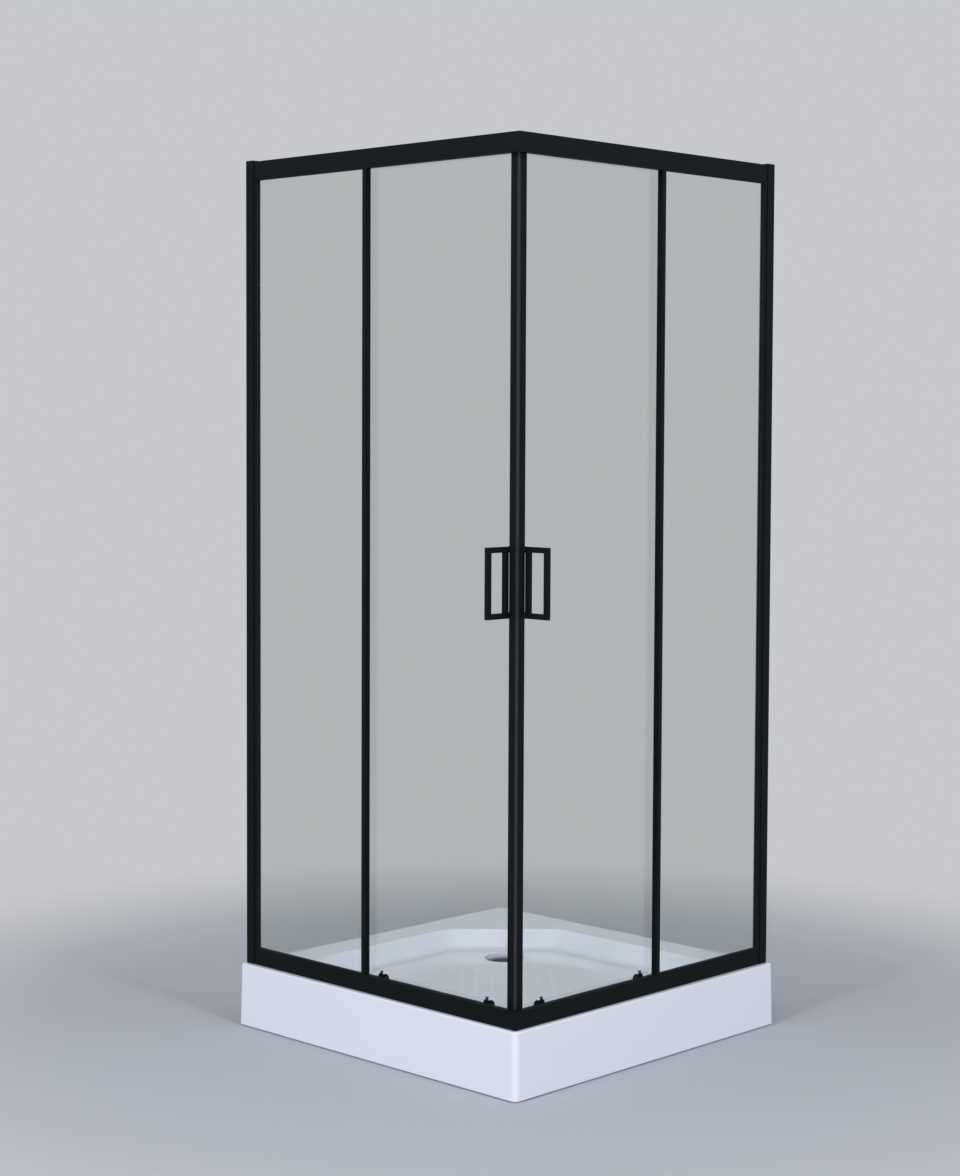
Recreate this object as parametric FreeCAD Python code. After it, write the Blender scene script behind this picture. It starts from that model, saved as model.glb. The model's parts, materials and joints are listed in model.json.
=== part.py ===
import FreeCAD, Part
import math
import os

from FreeCAD import Vector

# Corner-entry shower cabin: a square white tray on levelling feet, and a framed glass
# enclosure on its two open sides. Each side has a fixed pane beside the wall and a door
# that slides on grooved wheels behind it; the two doors meet at the entry corner.
#
# Frame, in millimetres: the origin is on the floor under the tray's centre and +Z is up.
# The walls are at -X and +Y. The entry corner is at +X and -Y. The left side runs along X
# at the -Y edge, and the right side is its mirror image across the upright plane y = -x.
# A depth is measured inwards from the enclosure's outer face, square to the glass.

# Overall sizes
TRAY_SIZE = 900.0
DECK_HEIGHT = 150.0
ENCLOSURE_HEIGHT = 1900.0
FRAME_INSET = 16.0
FIXED_SIDE_WIDTH = 415.0
GLASS_THICKNESS = 5.0
CUT_OVERRUN = 5.0
FIT_GAP = 0.2
BORE_GAP = 0.05

# Tray shell
TRAY_WALL = 5.0
SKIRT_GAP = 3.0
SKIRT_DRAFT = 5.0
SKIRT_CORNER_R = 14.0
SKIRT_EDGE_R = 4.0
SKIRT_RETURN = 30.0
FLANGE_HEIGHT = 35.0
WALL_LEDGE = 88.0
ENTRY_LEDGE = 62.0
BASIN_CHAMFER = 200.0
BASIN_CORNER_R = 62.0
BASIN_DEPTH = 45.0
BASIN_SLOPE_RUN = 38.0
BASIN_FLOOR_R = 12.0
BASIN_RIM_R = 6.0

# Board and levelling feet
BOARD_THICKNESS = 12.0
BOARD_MARGIN = 65.0
BOARD_CHAMFER = 40.0
BOARD_HOLE_R = 60.0
FOOT_MARGIN = 115.0
FOOT_PAD_R = 25.0
FOOT_PAD_HEIGHT = 8.0
FOOT_PAD_EDGE = 2.0
FOOT_COLLAR_R = 9.0
FOOT_COLLAR_HEIGHT = 6.0
FOOT_ROD_R = 6.0
FOOT_ROD_TOP_GAP = 2.0
SOCKET_R = 18.0
SOCKET_HEIGHT = 28.0
LOCK_NUT_FLATS = 19.0
LOCK_NUT_HEIGHT = 10.0

# Drain
DRAIN_FROM_CENTRE = 175.0
DISH_R = 48.0
DISH_DEPTH = 4.0
DRAIN_HOLE_R = 27.0
FLANGE_R = 42.0
FLANGE_THICKNESS = 1.6
FLANGE_TUBE_R = 26.0
FLANGE_TUBE_WALL = 2.5
FLANGE_TUBE_LENGTH = 26.0
DRAIN_GASKET_R = 44.0
DRAIN_GASKET_THICKNESS = 3.0
TRAP_R = 45.0
TRAP_WALL = 3.0
TRAP_COLLAR = 8.0
TRAP_HEIGHT = 78.0
SPIGOT_R = 20.0
SPIGOT_WALL = 2.5
SPIGOT_LENGTH = 60.0
SPIGOT_DROP = 48.0
SPIGOT_COLLAR_R = 24.0
SPIGOT_COLLAR_LENGTH = 10.0
COVER_R = 44.0
COVER_RIM = 1.6
COVER_RISE = 5.6
COVER_WALL = 1.6
COVER_SLEEVE_R = 22.8
COVER_SLEEVE_LENGTH = 12.0

# Wall channel, jamb and fixed stile
CHANNEL_WALL = 1.8
CHANNEL_REACH = 25.0
CHANNEL_RISE = 1.0
CAP_THICKNESS = 2.0
WALL_HOLE_R = 3.2
WALL_HOLE_END = 150.0
MEMBER_SETBACK = 0.5
MEMBER_DEPTH = 15.0
MEMBER_WALL = 1.6
WALL_INSET = 5.0
JAMB_START = 5.0
JAMB_REACH = 35.0
JAMB_GROOVE = 14.0
STILE_WIDTH = 12.0
STILE_GROOVE = 9.0
JAMB_SCREW_FROM_WALL = 12.0

# Head rail and bottom rail
RAIL_DEPTH = 36.0
RAIL_WALL = 1.6
RAIL_GROOVE = 12.4
HEAD_RAIL_HEIGHT = 43.0
BOTTOM_RAIL_HEIGHT = 40.0
TRACK_RIB_WIDTH = 1.6
TRACK_RIB_FROM_BACK = 5.0
HEAD_LEDGE_HEIGHT = 8.0
HEAD_LEDGE_THICKNESS = 2.0
HEAD_LEDGE_WIDTH = 8.5
HEAD_RIB_RISE = 3.0
BOTTOM_WEB_HEIGHT = 8.4
BOTTOM_RIB_HEIGHT = 14.0
BOTTOM_LIP_HEIGHT = 8.0
INFILL_HEIGHT = 5.0
INFILL_WALL = 1.2
BRACKET_ARM = 60.0
BRACKET_HEIGHT = 20.0
BRACKET_CLEARANCE = 0.3
RAIL_SCREW_PITCH = 24.0

# Fixed glass and its gasket
GLASS_EDGE_COVER = 11.5
GLASS_RAIL_COVER = 28.0
GASKET_BOTTOM = 2.0
GASKET_LIP = 1.0

# Door
DOOR_GAP = 2.9
DOOR_OVERLAP = 20.0
DOOR_GLASS_BOTTOM = 8.0
DOOR_GLASS_TOP = 6.0
DOOR_END_LAP = 5.0
DOOR_STILE_WIDTH = 16.0
DOOR_STILE_DEPTH = 11.1
DOOR_STILE_FRONT = 2.1
DOOR_STILE_WALL = 1.5
DOOR_STILE_CLEARANCE = 2.0
DOOR_STILE_GROOVE = 10.0
MAGNET_SETBACK = 1.0
MAGNET_WIDTH = 6.5
MAGNET_DEPTH = 5.5
MAGNET_GAP = 0.15
MAGNET_FOOT_WIDTH = 2.0
MAGNET_FOOT_LENGTH = 2.5
TRAILING_SEAL_LIP = 2.0
TRAILING_SEAL_COVER = 10.0
TRAILING_SEAL_WALL = 1.2
TRAILING_FIN_GAP = 0.4
TRAILING_FIN_WALL = 0.8

# Handle
HANDLE_BAR = 12.0
HANDLE_WIDTH = 10.0
HANDLE_DEPTH = 65.0
HANDLE_LENGTH = 153.0
HANDLE_CENTRE_HEIGHT = 1103.0
HANDLE_STILE_GAP = 2.6
HANDLE_EDGE_R = 0.8
HANDLE_SCREW_PITCH = HANDLE_LENGTH - HANDLE_BAR
HANDLE_SCREW_R = 2.5
HANDLE_SCREW_DEPTH = 7.0
HANDLE_CAP_R = 7.0
HANDLE_CAP_HEIGHT = 4.0
GLASS_HOLE_R = 4.0

# Rollers
WHEEL_WIDTH = 5.6
WHEEL_GROOVE_WIDTH = 2.2
AXLE_R = 2.5
TRACK_GAP = 0.2
TOP_WHEEL_R = 11.0
TOP_WHEEL_GROOVE_R = 8.8
BOTTOM_WHEEL_R = 9.0
BOTTOM_WHEEL_GROOVE_R = 6.8
ROLLER_FROM_TRAILING = 51.0
ROLLER_FROM_LEADING = 77.6
ROLLER_END_GAP = 0.2
ROLLER_MOUNT_R = 12.5
ROLLER_MOUNT_THICKNESS = 3.5
ROLLER_HUB_R = 4.5
BOLT_HEAD_R = 6.0
BOLT_HEAD_HEIGHT = 1.5
HOUSING_THICKNESS = 4.0
HOUSING_BASE = 12.0
HOUSING_TOP = 44.0
HOUSING_SIDE = 2.0
HOUSING_BACK = 1.2
HOUSING_DOME_R = 9.0
HOUSING_DOME_TOP = 46.5
HOUSING_DOME_RISE = 1.5
SLIDER_WIDTH = 10.0
SLIDER_TOP = 51.0
SLIDER_TAB_WIDTH = 7.0
SLIDER_RIDGE_HEIGHT = 2.5
SLIDER_RIDGE_REACH = 1.0
SLIDER_FACE_GAP = 0.3

# Screws and stops
SCREW_R = 1.9
SCREW_HOLE_R = 2.1
SCREW_HEAD_R = 3.4
SCREW_HEAD_HEIGHT = 1.8
SCREW_LENGTH = 8.0
STOP_LENGTH = 12.0
STOP_HEIGHT = 20.0
STOP_GAP = 1.0

# Lines that several pieces share
HALF = TRAY_SIZE / 2
CORNER = HALF - FRAME_INSET
FACE_Y = -CORNER
BOTTOM_RAIL_TOP = DECK_HEIGHT + BOTTOM_RAIL_HEIGHT
HEAD_TOP = DECK_HEIGHT + ENCLOSURE_HEIGHT
HEAD_RAIL_BOTTOM = HEAD_TOP - HEAD_RAIL_HEIGHT
CHANNEL_TOP = HEAD_TOP + CHANNEL_RISE
WALL_X = -HALF + WALL_INSET
RAIL_START = WALL_X + JAMB_REACH
STILE_END = -HALF + FIXED_SIDE_WIDTH
STILE_START = STILE_END - STILE_WIDTH
MEMBER_BACK = MEMBER_SETBACK + MEMBER_DEPTH
MID_WALL = RAIL_WALL + RAIL_GROOVE
MID_WALL_BACK = MID_WALL + RAIL_WALL
TRACK_CENTRE = RAIL_DEPTH - TRACK_RIB_FROM_BACK
FIXED_GLASS_FRONT = MEMBER_SETBACK + (MEMBER_DEPTH - GLASS_THICKNESS) / 2
DOOR_FRONT = MID_WALL_BACK + DOOR_GAP
DOOR_BACK = DOOR_FRONT + GLASS_THICKNESS
DOOR_STILE_OUTER = DOOR_FRONT - DOOR_STILE_FRONT
DOOR_STILE_INNER = DOOR_STILE_OUTER + DOOR_STILE_DEPTH
MAGNET_FRONT = DOOR_STILE_OUTER + MAGNET_SETBACK
DOOR_STILE_END = CORNER - MAGNET_FRONT - MAGNET_WIDTH
DOOR_STILE_START = DOOR_STILE_END - DOOR_STILE_WIDTH
DOOR_TRAILING = STILE_END - DOOR_OVERLAP
DOOR_LEADING = DOOR_STILE_START + DOOR_STILE_GROOVE
DOOR_LOW = BOTTOM_RAIL_TOP - DOOR_END_LAP
DOOR_HIGH = HEAD_RAIL_BOTTOM + DOOR_END_LAP
DOOR_TRAVEL = DOOR_TRAILING - RAIL_START
HANDLE_END = DOOR_STILE_START - HANDLE_STILE_GAP
HANDLE_START = HANDLE_END - HANDLE_WIDTH
HANDLE_AXIS = (HANDLE_START + HANDLE_END) / 2
ROLLER_PLACES = (DOOR_TRAILING + ROLLER_FROM_TRAILING, DOOR_LEADING - ROLLER_FROM_LEADING)
ROLLER_NAMES = ("wall", "entry")
TOP_TRACK = HEAD_RAIL_BOTTOM + HEAD_LEDGE_HEIGHT + HEAD_LEDGE_THICKNESS + HEAD_RIB_RISE
BOTTOM_TRACK = DECK_HEIGHT + BOTTOM_RIB_HEIGHT
TOP_AXLE = TOP_TRACK + TRACK_GAP + TOP_WHEEL_GROOVE_R
BOTTOM_AXLE = BOTTOM_TRACK + TRACK_GAP + BOTTOM_WHEEL_GROOVE_R
WHEEL_FRONT = TRACK_CENTRE - WHEEL_WIDTH / 2
WHEEL_BACK = TRACK_CENTRE + WHEEL_WIDTH / 2
AXLE_END = WHEEL_BACK + ROLLER_END_GAP
DOME_OFFSET = SLIDER_WIDTH / 2 + FIT_GAP + HOUSING_DOME_R
DOME_HEIGHT = DECK_HEIGHT + HOUSING_DOME_TOP - HOUSING_DOME_R
BASIN_FLOOR = DECK_HEIGHT - BASIN_DEPTH
BOARD_TOP = BASIN_FLOOR - TRAY_WALL
BOARD_BOTTOM = BOARD_TOP - BOARD_THICKNESS
SOCKET_BOTTOM = BOARD_BOTTOM - SOCKET_HEIGHT
DISH_FLOOR = BASIN_FLOOR - DISH_DEPTH
DISH_BOTTOM = DISH_FLOOR - TRAY_WALL
TRAP_TOP = DISH_BOTTOM - DRAIN_GASKET_THICKNESS
SPIGOT_HEIGHT = TRAP_TOP - SPIGOT_DROP
DRAIN_X = -DRAIN_FROM_CENTRE
DRAIN_Y = DRAIN_FROM_CENTRE
FOOT_REACH = HALF - FOOT_MARGIN
FOOT_PLACES = {
    "centre": (0.0, 0.0),
    "entry": (FOOT_REACH, -FOOT_REACH),
    "left": (-FOOT_REACH, -FOOT_REACH),
    "right": (FOOT_REACH, FOOT_REACH),
    "back": (-FOOT_REACH, FOOT_REACH),
}


def block(x0, x1, y0, y1, z0, z1):
    return Part.makeBox(x1 - x0, y1 - y0, z1 - z0, Vector(x0, y0, z0))


def side_block(x0, x1, depth0, depth1, z0, z1):
    """A block of the left side, placed by its depth behind the outer face."""
    return block(x0, x1, FACE_Y + depth0, FACE_Y + depth1, z0, z1)


def side_round(x, z, depth0, depth1, radius):
    """A round bar of the left side, square to the glass."""
    start = Vector(x, FACE_Y + depth0, z)
    return Part.makeCylinder(radius, depth1 - depth0, start, Vector(0, 1, 0))


def upright_round(x, y, z0, z1, radius):
    return Part.makeCylinder(radius, z1 - z0, Vector(x, y, z0))


def side_plan(points, z0, z1):
    """An upright prism of the left side from a plan of (x, depth) points."""
    corners = [Vector(x, FACE_Y + depth, z0) for x, depth in points]
    face = Part.Face(Part.makePolygon(corners + corners[:1]))
    return face.extrude(Vector(0, 0, z1 - z0))


def join(*shapes):
    return shapes[0].multiFuse(list(shapes[1:])).removeSplitter()


def cut(shape, *tools):
    return shape.cut(list(tools)).removeSplitter()


def mirrored(shape):
    """The right side's copy of a left side shape."""
    return shape.mirror(Vector(0, 0, 0), Vector(1, 1, 0))


def mitred(shape):
    """Keeps what lies on the left side of the upright plane through the entry corner."""
    reach = 2 * TRAY_SIZE
    corners = [Vector(-reach, -reach, 0), Vector(reach, -reach, 0), Vector(-reach, reach, 0)]
    half = Part.Face(Part.makePolygon(corners + corners[:1]))
    return shape.common(half.extrude(Vector(0, 0, HEAD_TOP + reach)))


def edges_inside(shape, low, high):
    """The edges that lie wholly between two corners of a box."""
    found = []
    for edge in shape.Edges:
        box = edge.BoundBox
        if box.XMin < low[0] or box.YMin < low[1] or box.ZMin < low[2]:
            continue
        if box.XMax > high[0] or box.YMax > high[1] or box.ZMax > high[2]:
            continue
        found.append(edge)
    return found


def save(name, *solids):
    """Writes one node, a single solid or a group of like ones."""
    shape = solids[0] if len(solids) == 1 else Part.makeCompound(list(solids))
    if not shape.isValid() or shape.Volume <= 0:
        raise ValueError("bad shape: " + name)
    shape.exportStep(os.path.join("parts", name + ".step"))
    print(f"{name}: {len(shape.Solids)} solid(s), {shape.Volume / 1000:.1f} cm3")


def save_sides(name, *solids):
    """Writes a left node and its mirror image."""
    save(name + "_left", *solids)
    save(name + "_right", *[mirrored(solid) for solid in solids])


# Tray
def skirt_line(z):
    """How far the drafted skirt stands out from the centre at a height."""
    return HALF - SKIRT_DRAFT * (z - SKIRT_GAP) / (DECK_HEIGHT - SKIRT_GAP)


def skirt_block(inset, z0, z1):
    """A block with two drafted sides, each side drawn in by the inset."""
    wires = []
    for z in (z0, z1):
        far = skirt_line(z) - inset
        near = HALF - inset
        corners = [Vector(-near, -far, z), Vector(far, -far, z), Vector(far, near, z), Vector(-near, near, z)]
        wires.append(Part.makePolygon(corners + corners[:1]))
    shape = Part.makeLoft(wires, True, True)
    high = (TRAY_SIZE, 0, TRAY_SIZE)
    upright = edges_inside(shape, (0, -TRAY_SIZE, z0 - CUT_OVERRUN), high)
    return shape.makeFillet(SKIRT_CORNER_R - inset, upright)


def basin_corners(outset):
    """The basin's outline at the deck, moved out by a distance on every side."""
    low_x = -HALF + WALL_LEDGE
    high_x = HALF - ENTRY_LEDGE
    corners = [
        (low_x, -high_x),
        (high_x, -high_x),
        (high_x, -low_x),
        (low_x + BASIN_CHAMFER, -low_x),
        (low_x, -low_x - BASIN_CHAMFER),
    ]
    moved = []
    for i, here in enumerate(corners):
        before = corners[i - 1]
        after = corners[(i + 1) % len(corners)]
        first = side_normal(before, here)
        second = side_normal(here, after)
        share = outset / (1 + first.dot(second))
        moved.append(Vector(here[0], here[1], 0) + (first + second) * share)
    return moved


def side_normal(start, end):
    """The outward direction of one side of an anticlockwise outline."""
    run = Vector(end[0] - start[0], end[1] - start[1], 0)
    return Vector(run.y, -run.x, 0).normalize()


def basin_wire(outset, z):
    """The basin's outline with rounded corners, which stay concentric as it grows."""
    corners = basin_corners(outset)
    radius = BASIN_CORNER_R + outset
    ends = []
    edges = []
    for i, here in enumerate(corners):
        first = side_normal(corners[i - 1], here)
        second = side_normal(here, corners[(i + 1) % len(corners)])
        outwards = first + second
        centre = here - outwards * (radius / (1 + first.dot(second)))
        tips = [centre + first * radius, centre + outwards.normalize() * radius, centre + second * radius]
        ends.append([tip + Vector(0, 0, z) for tip in tips])
    for i, (start, middle, end) in enumerate(ends):
        edges.append(Part.LineSegment(ends[i - 1][2], start).toShape())
        edges.append(Part.Arc(start, middle, end).toShape())
    return Part.Wire(edges)


def basin_hollow():
    """The space inside the basin, run on past the deck so that it cuts clean."""
    rate = BASIN_SLOPE_RUN / BASIN_DEPTH
    low = basin_wire(-BASIN_SLOPE_RUN, BASIN_FLOOR)
    high = basin_wire(rate * CUT_OVERRUN, DECK_HEIGHT + CUT_OVERRUN)
    hollow = Part.makeLoft([low, high], True, True)
    middle = (BASIN_FLOOR + DECK_HEIGHT) / 2
    floor_edges = edges_inside(hollow, (-HALF, -HALF, 0), (HALF, HALF, middle))
    return hollow.makeFillet(BASIN_FLOOR_R, floor_edges)


def basin_shell():
    """The basin's outside: the hollow's slopes, one wall thickness away."""
    rate = BASIN_SLOPE_RUN / BASIN_DEPTH
    outset = TRAY_WALL * (math.hypot(1, rate) - rate)
    overlap = TRAY_WALL / 2
    low = basin_wire(outset - BASIN_SLOPE_RUN, BASIN_FLOOR - TRAY_WALL)
    high = basin_wire(outset + rate * overlap, DECK_HEIGHT - TRAY_WALL + overlap)
    return Part.makeLoft([low, high], True, True)


def make_tray():
    shape = skirt_block(0, SKIRT_GAP, DECK_HEIGHT)
    near_top = DECK_HEIGHT - SKIRT_EDGE_R
    top_edges = edges_inside(shape, (-TRAY_SIZE, -TRAY_SIZE, near_top), (TRAY_SIZE, TRAY_SIZE, TRAY_SIZE))
    shape = shape.makeFillet(SKIRT_EDGE_R, top_edges)
    shape = shape.cut(skirt_block(TRAY_WALL, SKIRT_GAP - CUT_OVERRUN, DECK_HEIGHT - TRAY_WALL))
    flange_bottom = DECK_HEIGHT - FLANGE_HEIGHT
    inner = HALF - TRAY_WALL
    end = SKIRT_RETURN - HALF
    low = SKIRT_GAP - CUT_OVERRUN
    outer = HALF + CUT_OVERRUN
    left_gap = block(-outer, -inner, end, outer, low, flange_bottom)
    back_gap = block(-outer, -end, inner, outer, low, flange_bottom)
    boss = upright_round(DRAIN_X, DRAIN_Y, DISH_BOTTOM, BASIN_FLOOR, DISH_R + TRAY_WALL)
    dish = upright_round(DRAIN_X, DRAIN_Y, DISH_FLOOR, DECK_HEIGHT, DISH_R)
    hole = upright_round(DRAIN_X, DRAIN_Y, 0, DECK_HEIGHT, DRAIN_HOLE_R)
    shape = shape.cut([left_gap, back_gap])
    shape = shape.multiFuse([basin_shell(), boss])
    shape = cut(shape, basin_hollow(), dish, hole)
    edge = BASIN_RIM_R / 2
    low = (-HALF + WALL_LEDGE - edge, -HALF + ENTRY_LEDGE - edge, DECK_HEIGHT - edge)
    high = (HALF - ENTRY_LEDGE + edge, HALF - WALL_LEDGE + edge, DECK_HEIGHT + edge)
    return shape.makeFillet(BASIN_RIM_R, edges_inside(shape, low, high))


# Board and levelling feet
def make_base_board():
    edge = HALF - BOARD_MARGIN
    board = block(-edge, edge, -edge, edge, BOARD_BOTTOM, BOARD_TOP)
    upright = [item for item in board.Edges if item.BoundBox.ZLength > BOARD_THICKNESS / 2]
    board = board.makeChamfer(BOARD_CHAMFER, upright)
    hole = upright_round(DRAIN_X, DRAIN_Y, 0, DECK_HEIGHT, BOARD_HOLE_R)
    return cut(board, hole)


def make_foot_socket(x, y):
    socket = upright_round(x, y, SOCKET_BOTTOM, BOARD_BOTTOM, SOCKET_R)
    bore = upright_round(x, y, 0, BOARD_BOTTOM + CUT_OVERRUN, FOOT_ROD_R + BORE_GAP)
    return cut(socket, bore)


def make_lock_nut(x, y):
    low = SOCKET_BOTTOM - LOCK_NUT_HEIGHT
    reach = LOCK_NUT_FLATS / 2 / math.cos(math.pi / 6)
    angles = [math.radians(60 * i) for i in range(7)]
    corners = [Vector(x + reach * math.cos(a), y + reach * math.sin(a), low) for a in angles]
    nut = Part.Face(Part.makePolygon(corners)).extrude(Vector(0, 0, LOCK_NUT_HEIGHT))
    bore = upright_round(x, y, 0, SOCKET_BOTTOM + CUT_OVERRUN, FOOT_ROD_R + BORE_GAP)
    return cut(nut, bore)


def make_foot(x, y):
    collar_top = FOOT_PAD_HEIGHT + FOOT_COLLAR_HEIGHT
    profile = [
        (0, 0),
        (FOOT_PAD_R, 0),
        (FOOT_PAD_R, FOOT_PAD_HEIGHT - FOOT_PAD_EDGE),
        (FOOT_PAD_R - FOOT_PAD_EDGE, FOOT_PAD_HEIGHT),
        (FOOT_COLLAR_R, FOOT_PAD_HEIGHT),
        (FOOT_COLLAR_R, collar_top),
        (FOOT_ROD_R, collar_top),
        (FOOT_ROD_R, BOARD_BOTTOM - FOOT_ROD_TOP_GAP),
        (0, BOARD_BOTTOM - FOOT_ROD_TOP_GAP),
    ]
    return turned(profile, x, y)


def turned(profile, x, y):
    """A turned shape about an upright axis, from (radius, height) points."""
    corners = [Vector(x + radius, y, z) for radius, z in profile]
    face = Part.Face(Part.makePolygon(corners + corners[:1]))
    return face.revolve(Vector(x, y, 0), Vector(0, 0, 1), 360)


# Drain
def make_drain_flange():
    top = DISH_FLOOR + FLANGE_THICKNESS
    low = DISH_FLOOR - FLANGE_TUBE_LENGTH
    disc = upright_round(DRAIN_X, DRAIN_Y, DISH_FLOOR, top, FLANGE_R)
    tube = upright_round(DRAIN_X, DRAIN_Y, low, top, FLANGE_TUBE_R)
    bore = upright_round(DRAIN_X, DRAIN_Y, 0, DECK_HEIGHT, FLANGE_TUBE_R - FLANGE_TUBE_WALL)
    return cut(join(disc, tube), bore)


def make_drain_gasket():
    ring = upright_round(DRAIN_X, DRAIN_Y, TRAP_TOP, DISH_BOTTOM, DRAIN_GASKET_R)
    return cut(ring, upright_round(DRAIN_X, DRAIN_Y, 0, DECK_HEIGHT, DRAIN_HOLE_R))


def make_drain_trap():
    low = TRAP_TOP - TRAP_HEIGHT
    cup = upright_round(DRAIN_X, DRAIN_Y, low, TRAP_TOP, TRAP_R)
    inside = upright_round(DRAIN_X, DRAIN_Y, low + TRAP_WALL, TRAP_TOP - TRAP_COLLAR, TRAP_R - TRAP_WALL)
    neck = upright_round(DRAIN_X, DRAIN_Y, low + TRAP_WALL, DECK_HEIGHT, FLANGE_TUBE_R + BORE_GAP)
    axis = Vector(0, 1, 0)
    start = Vector(DRAIN_X, DRAIN_Y + TRAP_R / 2, SPIGOT_HEIGHT)
    length = TRAP_R / 2 + SPIGOT_LENGTH
    spigot = Part.makeCylinder(SPIGOT_R, length, start, axis)
    collar = Part.makeCylinder(SPIGOT_COLLAR_R, TRAP_R / 2 + SPIGOT_COLLAR_LENGTH, start, axis)
    bore = Part.makeCylinder(SPIGOT_R - SPIGOT_WALL, length + CUT_OVERRUN, start, axis)
    return cut(join(cup, collar, spigot), inside, neck, bore)


def make_drain_cover():
    """A domed cap with a turned-down rim and a sleeve that drops into the flange."""
    base = DISH_FLOOR + FLANGE_THICKNESS + FIT_GAP
    top = base + COVER_RIM + COVER_RISE
    shoulder = base + COVER_RIM
    outer = domed_solid(COVER_R, base, shoulder, top)
    inner = domed_solid(COVER_R - COVER_WALL, base - CUT_OVERRUN, shoulder, top - COVER_WALL)
    roof = top - COVER_WALL / 2
    low = base - COVER_SLEEVE_LENGTH
    sleeve = upright_round(DRAIN_X, DRAIN_Y, low, roof, COVER_SLEEVE_R)
    bore = upright_round(DRAIN_X, DRAIN_Y, low - CUT_OVERRUN, roof, COVER_SLEEVE_R - COVER_WALL)
    return join(cut(outer, inner), cut(sleeve, bore).common(outer.fuse(upright_round(
        DRAIN_X, DRAIN_Y, low, shoulder, COVER_SLEEVE_R))))


def domed_solid(radius, low, shoulder, top):
    """A straight rim with a shallow arc over it, turned about the drain's axis."""
    middle_radius = radius / 2
    rise = top - shoulder
    ball = (radius * radius + rise * rise) / (2 * rise)
    middle_height = top - ball + math.sqrt(ball * ball - middle_radius * middle_radius)
    points = [Vector(DRAIN_X + r, DRAIN_Y, z) for r, z in (
        (0, low), (radius, low), (radius, shoulder), (middle_radius, middle_height), (0, top))]
    edges = [
        Part.LineSegment(points[0], points[1]).toShape(),
        Part.LineSegment(points[1], points[2]).toShape(),
        Part.Arc(points[2], points[3], points[4]).toShape(),
        Part.LineSegment(points[4], points[0]).toShape(),
    ]
    face = Part.Face(Part.Wire(edges))
    return face.revolve(Vector(DRAIN_X, DRAIN_Y, 0), Vector(0, 0, 1), 360)


# Wall channel, jamb and fixed stile
def wall_hole_heights():
    """Three evenly spaced holes up the channel."""
    low = DECK_HEIGHT + WALL_HOLE_END
    high = HEAD_TOP - WALL_HOLE_END
    return [low, (low + high) / 2, high]


def make_wall_channel():
    front = MEMBER_SETBACK - CHANNEL_WALL
    back = MEMBER_BACK + CHANNEL_WALL
    shape = side_block(WALL_X, WALL_X + CHANNEL_REACH, front, back, DECK_HEIGHT, CHANNEL_TOP)
    inside = side_block(WALL_X + CHANNEL_WALL, HALF, MEMBER_SETBACK, MEMBER_BACK, 0, HEAD_TOP + CUT_OVERRUN)
    centre = FACE_Y + (front + back) / 2
    tools = [inside]
    for z in wall_hole_heights():
        start = Vector(WALL_X - CUT_OVERRUN, centre, z)
        tools.append(Part.makeCylinder(WALL_HOLE_R, 2 * CUT_OVERRUN, start, Vector(1, 0, 0)))
    x = WALL_X + JAMB_SCREW_FROM_WALL
    for z in wall_hole_heights():
        tools.append(side_round(x, z, MEMBER_BACK - CUT_OVERRUN, back + CUT_OVERRUN, SCREW_HOLE_R))
    return cut(shape, *tools)


def make_jamb():
    start = WALL_X + JAMB_START
    shape = side_block(start, RAIL_START, MEMBER_SETBACK, MEMBER_BACK, DECK_HEIGHT, HEAD_TOP)
    front = MEMBER_SETBACK + MEMBER_WALL
    back = MEMBER_BACK - MEMBER_WALL
    groove_end = RAIL_START - JAMB_GROOVE
    high = HEAD_TOP + CUT_OVERRUN
    groove = side_block(groove_end, RAIL_START + CUT_OVERRUN, front, back, 0, high)
    hollow = side_block(start + MEMBER_WALL, groove_end - MEMBER_WALL, front, back, 0, high)
    x = WALL_X + JAMB_SCREW_FROM_WALL
    holes = [side_round(x, z, front, MEMBER_BACK + CUT_OVERRUN, SCREW_HOLE_R) for z in wall_hole_heights()]
    return cut(shape, groove, hollow, *holes)


def make_fixed_stile():
    shape = side_block(STILE_START, STILE_END, MEMBER_SETBACK, MEMBER_BACK, BOTTOM_RAIL_TOP, HEAD_RAIL_BOTTOM)
    front = MEMBER_SETBACK + MEMBER_WALL
    back = MEMBER_BACK - MEMBER_WALL
    groove = side_block(STILE_START - CUT_OVERRUN, STILE_START + STILE_GROOVE, front, back, 0, HEAD_TOP)
    return cut(shape, groove)


def make_channel_cap():
    """A moulded cap that closes the channel's top and plugs into it beside the jamb."""
    front = MEMBER_SETBACK - CHANNEL_WALL
    back = MEMBER_BACK + CHANNEL_WALL
    top = CHANNEL_TOP + CAP_THICKNESS
    plate = side_block(WALL_X, WALL_X + CHANNEL_REACH, front, back, CHANNEL_TOP, top)
    x0 = WALL_X + CHANNEL_WALL + FIT_GAP
    x1 = WALL_X + JAMB_START - FIT_GAP
    depth0 = MEMBER_SETBACK + FIT_GAP
    depth1 = MEMBER_BACK - FIT_GAP
    plug = side_block(x0, x1, depth0, depth1, CHANNEL_TOP - INFILL_HEIGHT, CHANNEL_TOP)
    return join(plate, plug)


# Rails
def rail_screw_places():
    """Where the corner bracket's screws stand along a side."""
    first = CORNER - BRACKET_ARM + RAIL_SCREW_PITCH / 2
    return [first, first + RAIL_SCREW_PITCH]


def head_bracket_bottom():
    return HEAD_TOP - RAIL_WALL - FIT_GAP - BRACKET_HEIGHT


def bottom_bracket_bottom():
    return DECK_HEIGHT + BOTTOM_WEB_HEIGHT + RAIL_WALL + FIT_GAP


def rail_screw_holes(z):
    """Holes for the bracket screws through the rail's middle wall."""
    low = MID_WALL - FIT_GAP
    high = MID_WALL_BACK + FIT_GAP
    return [side_round(x, z, low, high, SCREW_HOLE_R) for x in rail_screw_places()]


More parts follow.
